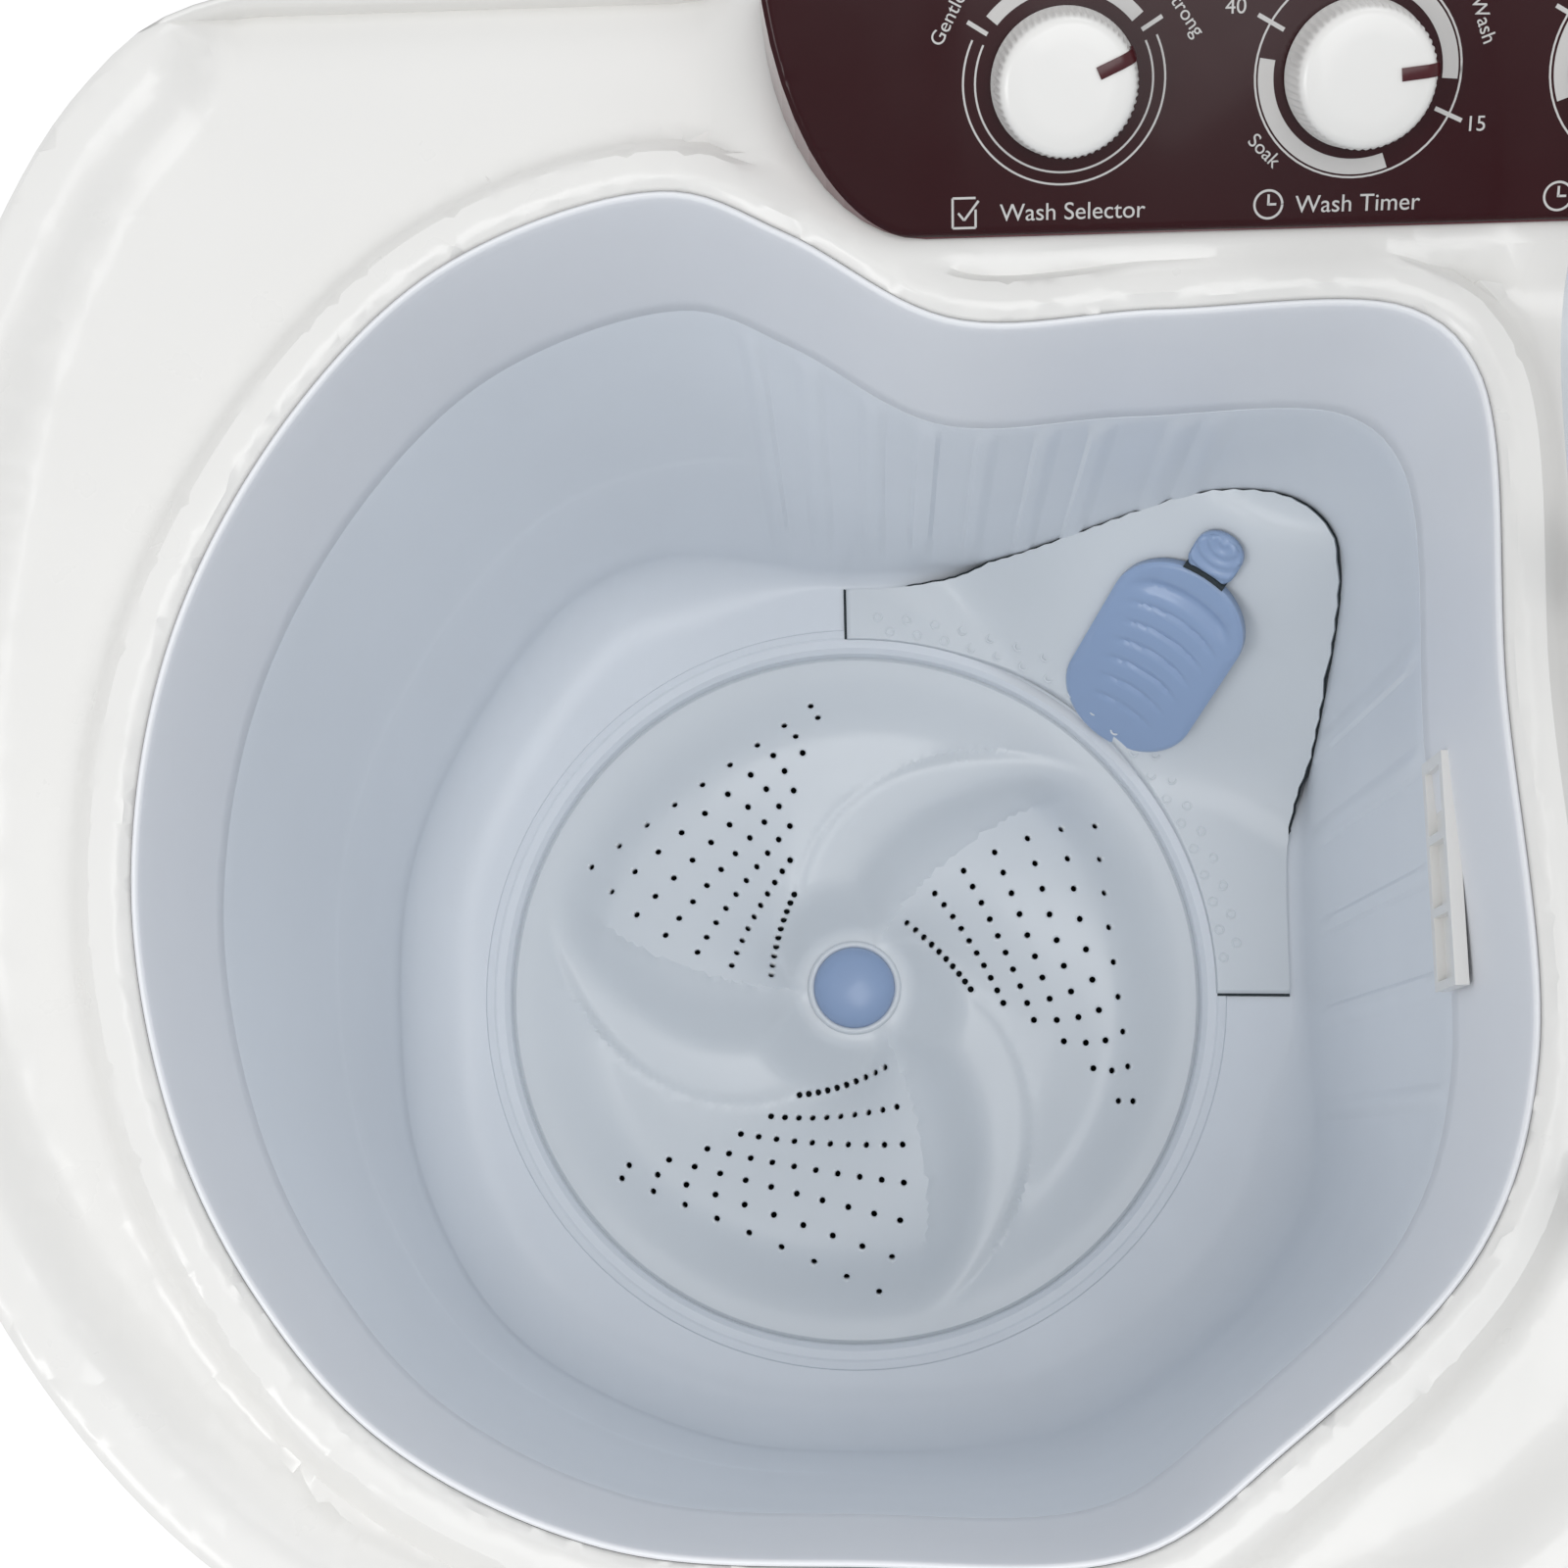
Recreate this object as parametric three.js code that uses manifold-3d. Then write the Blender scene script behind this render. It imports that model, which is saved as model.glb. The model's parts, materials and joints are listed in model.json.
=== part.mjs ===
// Twin tub washer: a wash tub with pulsator on the left, a spin basket on the right.
// Millimetres, +X right, +Y back, +Z up. The feet stand on z = 0.
import * as THREE from 'three';
import { mergeVertices } from 'three/addons/utils/BufferGeometryUtils.js';
import Module from 'manifold-3d';

const wasm = await Module();
wasm.setup();

// ---- driving dimensions -------------------------------------------------------------
const GAP = 0.3;                       // clearance between pieces that touch
const FRONT = -272.5;                  // front of the wash barrel
const BACK = 262;                      // flat back of the cabinet
const SIDE = 414;                      // half the overall width
const SPIGOT_END = 272.5;              // back end of the hose spigots
const WASH = [-121, -27.5];            // wash axis
const SPIN = [262, -27.5];             // spin axis
const FOOT_TOP = 22;
const CABINET_FOOT = 30;
const DECK_Z = 817;                    // top of the opening's ridge
const DECK_PLATE_Z = 802;              // floor of the channel round the ridge
const DECK_SEAM = 784;                 // deck and cabinet meet here
const DECK_WALL = 4;
const DISC_Z = 500;                    // rim of the pulsator
const TUB_FLOOR = 506;
const TUB_TOP = 716;                   // collar bottom
const TUB_WALL = 3;
const RECESS_R = 149;                  // round recess that the pulsator turns in
const RECESS_Z = 476;
const PULSATOR_R = 145;
const CAP_R = 17;
const SHAFT_R = 7;
const SEAL_R = 22;
const PULLEY_R = 88;
const MOTOR_PULLEY_R = 24;
const PULLEY_Z = 352;
const BELT_T = 6;
const BELT_H = 12;
const WASH_MOTOR = [WASH[0] - 170, WASH[1] + 10];
const FRAME_Z = 388;                   // top of the plate that carries the gearbox
const SPIN_TUB_R = 138;
const SPIN_MOUTH_R = 126;
const BASKET_R = 122;
const BASKET_FLOOR = 372;
const BASKET_TOP = 768;
const SPIN_TUB_FLOOR = 340;
const SPIN_TUB_TOP = 778;
const SPIN_SHAFT_R = 6.5;
const DRUM_R = 46;
const SPIN_MOTOR_R = 60;
const PANEL_FRONT = 177.5;
const PANEL_LEFT = -143;
const PANEL_RIGHT = 368;
const PANEL_SLOPE = THREE.MathUtils.degToRad(32);
const PANEL_LENGTH = 96;               // measured up the slope
const FASCIA_T = 2.5;
const KNOB_ALONG = 46;                 // up the slope
const KNOB_X = [-51.4, 36.1, 123.6];
const KNOB_R = 22;
const KNOB_H = 20;
const WASH_HINGE = [100, 830];         // x and z of the wash lid's pin
const WASH_LID_LEAN = THREE.MathUtils.degToRad(95);
const SPIN_HINGE = [158, 828];         // y and z of the spin lid's pin
const PIN_R = 2.5;
const KNUCKLE_R = 6;
const VALVE = [95, 100];
const OUTLET = [VALVE[0] + 120, 100];      // x and z of the drain outlet

// ---- colours and finishes -----------------------------------------------------------
const look = (color, roughness, metalness = 0) =>
  new THREE.MeshStandardMaterial({ color, roughness, metalness });
const WHITE = look(0xf2f1ee, 0.35);
const TUB_GREY = look(0xc4ced8, 0.45);
const COVER_GREY = look(0xcfd7dc, 0.4);
const BLUE = look(0x8ca2be, 0.4);
const WINE = look(0x4a1218, 0.25);
const DARK_WINE = look(0x2a0c0e, 0.15);
const BLACK = look(0x1d1d1f, 0.7);
const STEEL = look(0x9da2a6, 0.35, 0.9);
const ZINC = look(0x8c9094, 0.45, 0.8);
const PLASTIC = look(0x55585c, 0.6);
const CLEAR = look(0xb9c4cc, 0.15);

const part = new THREE.Group();

function add(name, geometry, material, parent = part) {
  const mesh = new THREE.Mesh(geometry, material);
  mesh.name = name;
  parent.add(mesh);
  return mesh;
}

// ---- solids -------------------------------------------------------------------------
function toSolid(geometry) {
  const bare = geometry.clone();
  bare.deleteAttribute('normal');
  bare.deleteAttribute('uv');
  const merged = mergeVertices(bare, 1e-4);
  return new wasm.Manifold(new wasm.Mesh({
    numProp: 3,
    vertProperties: new Float32Array(merged.attributes.position.array),
    triVerts: new Uint32Array(merged.index.array),
  }));
}

function fromSolid(solid) {
  const mesh = solid.getMesh();
  const geometry = new THREE.BufferGeometry();
  geometry.setAttribute('position', new THREE.BufferAttribute(mesh.vertProperties, 3));
  geometry.setIndex(new THREE.BufferAttribute(mesh.triVerts, 1));
  geometry.computeVertexNormals();
  return geometry;
}

function combine(plus, minus = []) {
  let solid = toSolid(plus[0]);
  for (const geometry of plus.slice(1)) {
    solid = solid.add(toSolid(geometry));
  }
  for (const geometry of minus) {
    solid = solid.subtract(toSolid(geometry));
  }
  return fromSolid(solid);
}

function box(x0, x1, y0, y1, z0, z1) {
  const geometry = new THREE.BoxGeometry(x1 - x0, y1 - y0, z1 - z0);
  return geometry.translate((x0 + x1) / 2, (y0 + y1) / 2, (z0 + z1) / 2);
}

function rod(r, z0, z1, [x, y] = [0, 0], sides = 20) {
  const geometry = new THREE.CylinderGeometry(r, r, z1 - z0, sides);
  return geometry.rotateX(Math.PI / 2).translate(x, y, (z0 + z1) / 2);
}

// A solid of revolution about a vertical axis, from [radius, z] points.
function turned(profile, [x, y] = [0, 0], sides = 24) {
  const points = profile.map(([r, z]) => new THREE.Vector2(r, z));
  if (profile[0][0] > 0) {
    points.push(points[0].clone());
  }
  const geometry = new THREE.LatheGeometry(points, sides);
  return geometry.rotateX(Math.PI / 2).translate(x, y, 0);
}

function ring(r0, r1, z0, z1, centre, sides = 24) {
  return turned([[r0, z0], [r1, z0], [r1, z1], [r0, z1]], centre, sides);
}

function alongX(geometry, x, y, z) {
  return geometry.rotateY(Math.PI / 2).translate(x, y, z);
}

function alongY(geometry, x, y, z) {
  return geometry.rotateX(-Math.PI / 2).translate(x, y, z);
}

function prism(outline, z0, z1, holes = []) {
  const shape = new THREE.Shape(outline.map(([x, y]) => new THREE.Vector2(x, y)));
  for (const hole of holes) {
    shape.holes.push(new THREE.Path(hole.map(([x, y]) => new THREE.Vector2(x, y))));
  }
  const geometry = new THREE.ExtrudeGeometry(shape, { depth: z1 - z0, bevelEnabled: false });
  return geometry.translate(0, 0, z0);
}

// Turns every triangle outwards.
function outward(geometry) {
  const p = geometry.attributes.position.array;
  const index = geometry.index.array;
  let volume = 0;
  for (let i = 0; i < index.length; i += 3) {
    const [a, b, c] = [index[i] * 3, index[i + 1] * 3, index[i + 2] * 3];
    volume += p[a] * (p[b + 1] * p[c + 2] - p[b + 2] * p[c + 1])
      - p[a + 1] * (p[b] * p[c + 2] - p[b + 2] * p[c])
      + p[a + 2] * (p[b] * p[c + 1] - p[b + 1] * p[c]);
  }
  if (volume < 0) {
    for (let i = 0; i < index.length; i += 3) {
      [index[i], index[i + 1]] = [index[i + 1], index[i]];
    }
  }
  geometry.computeVertexNormals();
  return geometry;
}

// A closed skin through rings of points. With looped set, the last ring meets the first;
// otherwise both ends close on their middle point.
function ringsBody(rings, looped) {
  const n = rings[0].length;
  const points = rings.flat(1).map((point) => [...point]);
  const index = [];
  const bands = looped ? rings.length : rings.length - 1;
  for (let i = 0; i < bands; i += 1) {
    const low = i * n;
    const high = ((i + 1) % rings.length) * n;
    for (let j = 0; j < n; j += 1) {
      const k = (j + 1) % n;
      index.push(low + j, low + k, high + k, low + j, high + k, high + j);
    }
  }
  if (!looped) {
    const middle = (points_) => points_[0].map((_, axis) =>
      points_.reduce((sum, point) => sum + point[axis], 0) / n);
    const first = points.push(middle(rings[0])) - 1;
    const last = points.push(middle(rings[rings.length - 1])) - 1;
    const top = (rings.length - 1) * n;
    for (let j = 0; j < n; j += 1) {
      const k = (j + 1) % n;
      index.push(first, k, j, last, top + j, top + k);
    }
  }
  const geometry = new THREE.BufferGeometry();
  geometry.setAttribute('position', new THREE.Float32BufferAttribute(points.flat(), 3));
  geometry.setIndex(index);
  return outward(geometry);
}

// ---- outlines -----------------------------------------------------------------------
function smooth(points, count) {
  const line = points.map(([x, y]) => new THREE.Vector3(x, y, 0));
  const curve = new THREE.CatmullRomCurve3(line, true, 'centripetal');
  return curve.getSpacedPoints(count).slice(0, count).map((point) => [point.x, point.y]);
}

function grown(outline, distance) {
  const n = outline.length;
  return outline.map(([x, y], i) => {
    const [ax, ay] = outline[(i + n - 1) % n];
    const [bx, by] = outline[(i + 1) % n];
    const length = Math.hypot(bx - ax, by - ay);
    return [x + (by - ay) / length * distance, y - (bx - ax) / length * distance];
  });
}

function circle(r, [x, y] = [0, 0], count = 32) {
  return Array.from({ length: count }, (_, i) => {
    const angle = i / count * 2 * Math.PI;
    return [x + r * Math.cos(angle), y + r * Math.sin(angle)];
  });
}

// The outline met by a ray from the origin at each of count even angles.
function polar(outline, count) {
  return circle(1, [0, 0], count).map(([dx, dy]) => {
    let reach = 0;
    outline.forEach(([ax, ay], i) => {
      const [bx, by] = outline[(i + 1) % outline.length];
      const across = dx * (by - ay) - dy * (bx - ax);
      const t = (ax * (by - ay) - ay * (bx - ax)) / across;
      const s = (ax * dy - ay * dx) / across;
      if (t > 0 && s >= 0 && s <= 1) {
        reach = Math.max(reach, t);
      }
    });
    return [dx * reach, dy * reach];
  });
}

const washPlace = (outline) => outline.map(([x, y]) => [x + WASH[0], y + WASH[1]]);
const level = (outline, z) => outline.map(([x, y]) => [x, y, z]);

// The machine's plan: a wide wash barrel, a front valley and a narrower spin barrel.
const BODY = smooth([
  [-414, 23], [-408, -60], [-372, -142], [-310, -212], [-225, -256], [-120, FRONT], [-20, -266],
  [60, -236], [108, -203], [122, -203], [165, -236], [262, -258], [345, -240], [398, -180],
  [414, -90], [414, 60], [414, 170], [404, 236], [370, BACK], [250, BACK], [60, BACK],
  [-130, BACK], [-310, BACK], [-354, 242], [-392, 172], [-408, 100],
], 56).map(([x, y]) => [
  THREE.MathUtils.clamp(x, -SIDE, SIDE),
  THREE.MathUtils.clamp(y, FRONT, BACK),
]);

// The wash opening at the deck, about the wash axis: round, but for a flat right side,
// a flat back and a slanted front right corner.
const LIP = smooth([
  [-215, 13], [-202, -58], [-176, -110], [-137, -153], [-74, -183], [0, -189], [78, -187],
  [119, -160], [179, -104], [199, -50], [197, 60], [195, 160], [176, 180], [100, 182],
  [35, 181], [-15, 210], [-52, 225], [-120, 204], [-167, 159], [-204, 89],
], 48);
const COLLAR_DRAFT = -1.5;

// The tub's floor at its edge.
const FLOOR = smooth([
  [-182, -4], [-174, -72], [-138, -135], [-60, -176], [0, -183], [72, -178], [112, -160],
  [158, -122], [180, -84], [185, -40], [187, 40], [190, 150], [172, 176], [90, 178],
  [0, 178], [-60, 180], [-108, 164], [-154, 107], [-178, 50],
], 48);

// ---- base and cabinet ---------------------------------------------------------------
const TRAY_HOLE_R = 48;
const trayWall = grown(BODY, -6.5);
add('base_tray', combine([
  prism(grown(BODY, -1), FOOT_TOP, CABINET_FOOT - GAP),
  prism(trayWall, CABINET_FOOT - 2, CABINET_FOOT + 30, [grown(trayWall, -3)]),
], [
  rod(TRAY_HOLE_R, FOOT_TOP - 1, CABINET_FOOT + 1, WASH),
]), PLASTIC);

const FEET = {
  left_front: [-290, -165],
  left_back: [-290, 195],
  right_front: [330, -175],
  right_back: [330, 195],
};
const FOOT_R = 23;
for (const [name, place] of Object.entries(FEET)) {
  add(`foot_${name}`, turned([
    [0, 0], [FOOT_R - 3, 0], [FOOT_R, 4], [FOOT_R, FOOT_TOP - GAP], [0, FOOT_TOP - GAP],
  ], place), BLACK);
}

const COVER = { x0: -210, x1: 170, z0: 90, z1: 500 };     // service cover at the back
const VENTS = [0, 1, 2, 3];
const VENT_PITCH = 22;
add('cabinet', combine([
  prism(BODY, CABINET_FOOT, DECK_SEAM - GAP, [grown(BODY, -3)]),
], [
  box(COVER.x0 + 20, COVER.x1 - 20, BACK - 20, BACK + 5, COVER.z0 + 20, COVER.z1 - 20),
  alongY(rod(23, -15, 15), OUTLET[0], BACK, OUTLET[1]),
]), WINE);

add('back_cover', combine([
  box(COVER.x0, COVER.x1, BACK + GAP, BACK + 3, COVER.z0, COVER.z1),
], VENTS.map((i) => {
  const low = COVER.z0 + 70 + i * VENT_PITCH;
  return box(COVER.x0 + 110, COVER.x1 - 110, BACK, BACK + 5, low, low + 10);
})), WINE);
for (const [side, x] of [['left', COVER.x0 + 10], ['right', COVER.x1 - 10]]) {
  const head = rod(4, 0, 2.5, [0, 0], 12);
  add(`back_cover_screw_${side}`, alongY(head, x, BACK + 3 + GAP, COVER.z1 - 12), ZINC);
}

// ---- deck ---------------------------------------------------------------------------
const lipPlaced = washPlace(LIP);
const spinMouth = circle(SPIN_MOUTH_R, SPIN, 28);
const PANEL_WELL = [-95, 170, 194, 246];             // x and y under the knobs' switches
const EAR_OFFSET = 14;                               // each pin is held by an ear on either side
const washPins = [WASH[1] - 95, WASH[1] + 95];
const spinPins = [SPIN[0] - 62, SPIN[0] + 62];
function hingeEars(pins, build) {
  return pins.flatMap((pin) => [build(pin - EAR_OFFSET), build(pin + EAR_OFFSET)]);
}
const earFoot = DECK_PLATE_Z - 2;
const washEars = hingeEars(washPins, (y) =>
  box(WASH_HINGE[0] - 5, WASH_HINGE[0] + 5, y - 2, y + 2, earFoot, WASH_HINGE[1] + 5));
const spinEars = hingeEars(spinPins, (x) =>
  box(x - 2, x + 2, SPIN_HINGE[0] - 5, SPIN_HINGE[0] + 5, earFoot, SPIN_HINGE[1] + 5));
function pinHole(reach) {
  return rod(PIN_R + GAP, -reach, reach, [0, 0], 12);
}
const washPinHoles = washPins.map((y) => alongY(pinHole(18), WASH_HINGE[0], y, WASH_HINGE[1]));
const spinPinHoles = spinPins.map((x) => alongX(pinHole(18), x, SPIN_HINGE[0], SPIN_HINGE[1]));
add('top_deck', combine([
  prism(BODY, DECK_SEAM, DECK_Z - 1, [grown(BODY, -7)]),
  prism(grown(BODY, -5), DECK_PLATE_Z - DECK_WALL, DECK_PLATE_Z, [lipPlaced, spinMouth]),
  prism(grown(lipPlaced, DECK_WALL), TUB_TOP + GAP, DECK_Z, [lipPlaced]),
  prism(circle(SPIN_MOUTH_R + DECK_WALL, SPIN, 28), SPIN_TUB_TOP + GAP, DECK_Z, [spinMouth]),
  box(PANEL_LEFT, PANEL_RIGHT, PANEL_FRONT, BACK - 2, DECK_PLATE_Z - 2, DECK_Z),
  ...washEars, ...spinEars,
], [
  box(...PANEL_WELL, DECK_PLATE_Z - 10, DECK_Z + 5),
  ...washPinHoles,
  ...spinPinHoles,
]), WHITE);

// ---- wash tub -----------------------------------------------------------------------
const TUB_SIDES = 44;
const tubRim = polar(grown(LIP, COLLAR_DRAFT), TUB_SIDES);
const tubFloor = polar(FLOOR, TUB_SIDES);
const unit = circle(1, [0, 0], TUB_SIDES);
const scaled = (outline, r) => outline.map(([x, y]) => [x * r, y * r]);
const thick = (outline) => grown(outline, TUB_WALL);
const washRing = (outline, z) => level(washPlace(outline), z);
const round = (r, z) => washRing(scaled(unit, r), z);
const SEAL_POCKET_Z = RECESS_Z - TUB_WALL - 9;
add('wash_tub', ringsBody([
  washRing(tubRim, TUB_TOP),
  washRing(grown(tubFloor, 3), TUB_FLOOR + 14),
  washRing(grown(tubFloor, -4), TUB_FLOOR),
  round(RECESS_R, TUB_FLOOR),
  round(RECESS_R, RECESS_Z),
  round(SEAL_R, RECESS_Z),
  round(SEAL_R, SEAL_POCKET_Z),
  round(SEAL_R + 6, SEAL_POCKET_Z),
  round(SEAL_R + 6, RECESS_Z - TUB_WALL),
  round(RECESS_R + TUB_WALL, RECESS_Z - TUB_WALL),
  round(RECESS_R + TUB_WALL, TUB_FLOOR - TUB_WALL),
  washRing(tubFloor, TUB_FLOOR - TUB_WALL),
  washRing(grown(tubFloor, 6), TUB_FLOOR + 14),
  washRing(thick(tubRim), TUB_TOP),
], true), TUB_GREY);

// Three shallow cells in a frame that stands on the collar's right side.
const GRILLE_X = WASH[0] + 192;
const GRILLE_Y = WASH[1] - 22;
const GRILLE_PITCH = 24;
add('overflow_grille', combine([
  box(GRILLE_X, GRILLE_X + 4.5, GRILLE_Y, GRILLE_Y + 76, TUB_TOP + 4, TUB_TOP + 32),
], [0, 1, 2].map((i) => {
  const y = GRILLE_Y + 3 + i * GRILLE_PITCH;
  return box(GRILLE_X - 2, GRILLE_X + 3, y, y + GRILLE_PITCH - 3, TUB_TOP + 8, TUB_TOP + 28);
})), WHITE);

// ---- filter cover in the back right corner of the tub -------------------------------
const FILTER_AIM = THREE.MathUtils.degToRad(55);     // direction in which the cover rises
const FILTER_RISE = 1.49;
const FILTER_CEILING = 116;
function filterHeight(x, y) {
  const u = x * Math.cos(FILTER_AIM) + y * Math.sin(FILTER_AIM) - 150;
  const v = -x * Math.sin(FILTER_AIM) + y * Math.cos(FILTER_AIM);
  const fall = THREE.MathUtils.smoothstep(Math.abs(v + 15), 20, 60) * 28;
  return THREE.MathUtils.clamp(FILTER_RISE * u - fall, 1.5, FILTER_CEILING);
}
// The inner face of the tub wall, seen from the wash axis at an angle and a height.
const wallInner = polar(grown(LIP, COLLAR_DRAFT), 360);
const floorInner = polar(grown(FLOOR, 3), 360);
function wallReach(degrees, z) {
  const t = THREE.MathUtils.clamp((z - TUB_FLOOR - 14) / (TUB_TOP - TUB_FLOOR - 14), 0, 1);
  const low = Math.hypot(...floorInner[degrees]);
  const high = Math.hypot(...wallInner[degrees]);
  return low + (high - low) * t;
}
const COVER_IN = 151;
const COVER_ANGLES = Array.from({ length: 16 }, (_, i) => i * 6);
const COVER_STEPS = 4;
function coverStrip(degrees) {
  const angle = THREE.MathUtils.degToRad(degrees);
  const reachLow = wallReach(degrees, TUB_FLOOR + 14) - 10;
  const edgeZ = TUB_FLOOR + filterHeight(reachLow * Math.cos(angle), reachLow * Math.sin(angle));
  const shy = 6.5 * THREE.MathUtils.clamp(1 - (edgeZ - TUB_FLOOR) / 20, 0, 1);
  const reachHigh = wallReach(degrees, edgeZ) - 4 - shy;
  const strip = (reach, height) => Array.from({ length: COVER_STEPS + 1 }, (_, i) => {
    const r = COVER_IN + (reach - COVER_IN) * i / COVER_STEPS;
    const x = r * Math.cos(angle);
    const y = r * Math.sin(angle);
    return [WASH[0] + x, WASH[1] + y, TUB_FLOOR + GAP + height(x, y)];
  });
  const top = strip(reachHigh, (x, y) => 1 + filterHeight(x, y));
  const foot = strip(reachLow, () => 0).reverse();
  return [...top, ...foot];
}
const FLAP_CENTRE = [130, 137];                       // about the wash axis, in plan
const FLAP_TILT = Math.atan(FILTER_RISE);
const FLAP_LENGTH = 104;
const FLAP_WIDTH = 58;
const FLAP_T = 5;
const flapLift = TUB_FLOOR + filterHeight(...FLAP_CENTRE);
// Local +Y runs up the cover's slope, local +Z stands off its face.
function onCover(geometry) {
  return geometry.rotateX(FLAP_TILT)
    .rotateZ(FILTER_AIM - Math.PI / 2)
    .translate(WASH[0] + FLAP_CENTRE[0], WASH[1] + FLAP_CENTRE[1], flapLift);
}
function oblong(width, length, z0, z1) {
  const r = width / 2;
  const half = length / 2 - r;
  const outline = [];
  for (let i = 0; i <= 8; i += 1) {
    const angle = i / 8 * Math.PI;
    outline.push([r * Math.cos(angle), half + r * Math.sin(angle)]);
  }
  for (let i = 0; i <= 8; i += 1) {
    const angle = i / 8 * Math.PI + Math.PI;
    outline.push([r * Math.cos(angle), -half + r * Math.sin(angle)]);
  }
  return prism(outline, z0, z1);
}
const coverBody = ringsBody(COVER_ANGLES.map(coverStrip), false);
add('filter_cover', combine([coverBody], [
  onCover(oblong(FLAP_WIDTH + 1, FLAP_LENGTH + 26, -24, 40)),
]), COVER_GREY);
add('filter_flap', onCover(oblong(FLAP_WIDTH, FLAP_LENGTH, 2, 2 + FLAP_T).translate(0, -11, 0)), BLUE);
const latchTab = oblong(24, 24, 2, 2 + FLAP_T).scale(1.2, 0.85, 1).translate(0, 52.5, 0);
add('filter_latch', onCover(latchTab), BLUE);
add('lint_filter', onCover(box(-20, 20, -52, 24, -12, 2 - GAP)), COVER_GREY);

// ---- pulsator -----------------------------------------------------------------------
const FIN_HEIGHT = 20;
const FIN_TWIST = -0.9;                               // radians from hub to rim
const FINS = 3;
const FIN_START = THREE.MathUtils.degToRad(90);
const DISC_SIDES = 36;
const DISC_RADII = [PULSATOR_R, 136, 112, 84, 56, 30];
function discHeight(r, angle) {
  const across = FINS * (angle - FIN_START - FIN_TWIST * r / PULSATOR_R);
  const wave = Math.pow((1 + Math.cos(across)) / 2, 3);
  const swell = Math.sin(Math.PI * THREE.MathUtils.clamp((PULSATOR_R - 4 - r) / 130, 0, 1));
  const dish = -7 * Math.sin(Math.PI * THREE.MathUtils.clamp((PULSATOR_R - r) / 90, 0, 1));
  const hub = 20 * THREE.MathUtils.smoothstep(-r, -60, -22);
  return dish + hub + FIN_HEIGHT * wave * swell;
}
function discRing(r, height) {
  return circle(r, [0, 0], DISC_SIDES).map(([x, y], i) => {
    const z = height === undefined ? discHeight(r, i / DISC_SIDES * 2 * Math.PI) : height;
    return [WASH[0] + x, WASH[1] + y, DISC_Z + z];
  });
}
add('pulsator', ringsBody([
  ...DISC_RADII.map((r) => discRing(r)),
  discRing(CAP_R + 1, 18),
  discRing(CAP_R + 1, 8),
  discRing(5, 8),
  discRing(5, -2),
  discRing(14, -2),
  discRing(14, -20),
  discRing(PULSATOR_R - 4, -16),
  discRing(PULSATOR_R, -14),
], true), COVER_GREY);
const onDisc = (profile) => profile.map(([r, z]) => [r, DISC_Z + z]);
add('pulsator_cap', turned(onDisc([
  [0, 17], [CAP_R - 2, 17], [CAP_R, 26], [12, 31], [0, 33],
]), WASH, 24), BLUE);
add('pulsator_screw', turned(onDisc([
  [0, -8], [3, -8], [3, 8 + GAP], [9, 8 + GAP], [9, 13], [0, 13],
]), WASH, 16), STEEL);

// ---- wash drive ---------------------------------------------------------------------
add('wash_shaft', turned([
  [0, PULLEY_Z], [SHAFT_R, PULLEY_Z], [SHAFT_R, DISC_Z - 9], [4, DISC_Z - 9], [4, DISC_Z - 3],
  [3.4, DISC_Z - 3], [3.4, DISC_Z - 8 - GAP], [0, DISC_Z - 8 - GAP],
], WASH, 20), STEEL);
add('shaft_seal', ring(SHAFT_R + GAP, SEAL_R - GAP, RECESS_Z - 12, RECESS_Z + 1, WASH, 24), BLACK);
const GEARBOX_R = 56;
add('gearbox', turned([
  [SHAFT_R + 1, GAP], [GEARBOX_R + 10, GAP], [GEARBOX_R + 10, 8], [GEARBOX_R, 8],
  [GEARBOX_R, 48], [24, 58], [24, 70], [SHAFT_R + 1, 70],
].map(([r, z]) => [r, FRAME_Z + z]), WASH, 28), ZINC);
const POST_OFFSET = 85;
const POSTS = washPlace([-1, 1].flatMap((x) => [-1, 1].map((y) => [x * POST_OFFSET, y * POST_OFFSET])));
const MOTOR_TOP = 330;
const BOLT_R = 36.5;                                  // circle of the motor's hanging bolts
add('drive_frame', combine([
  box(WASH_MOTOR[0] - 62, WASH[0] + 100, WASH[1] - 100, WASH[1] + 100, FRAME_Z - 4, FRAME_Z),
  ...POSTS.map((place) => rod(9, FRAME_Z - 2, RECESS_Z - TUB_WALL - GAP, place, 12)),
  ...[110, 180, 250].map((degrees) => {
    const angle = THREE.MathUtils.degToRad(degrees);
    const place = [WASH_MOTOR[0] + BOLT_R * Math.cos(angle), WASH_MOTOR[1] + BOLT_R * Math.sin(angle)];
    return rod(4, MOTOR_TOP + GAP, FRAME_Z - 2, place, 10);
  }),
], [
  rod(SHAFT_R + 4, FRAME_Z - 10, FRAME_Z + 10, WASH),
]), ZINC);
const pulleyZ = [PULLEY_Z, PULLEY_Z + BELT_H];
add('wash_pulley', ring(SHAFT_R + GAP, PULLEY_R, ...pulleyZ, WASH, 32), ZINC);
add('motor_pulley', ring(8 + GAP, MOTOR_PULLEY_R, ...pulleyZ, WASH_MOTOR, 24), ZINC);
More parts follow.
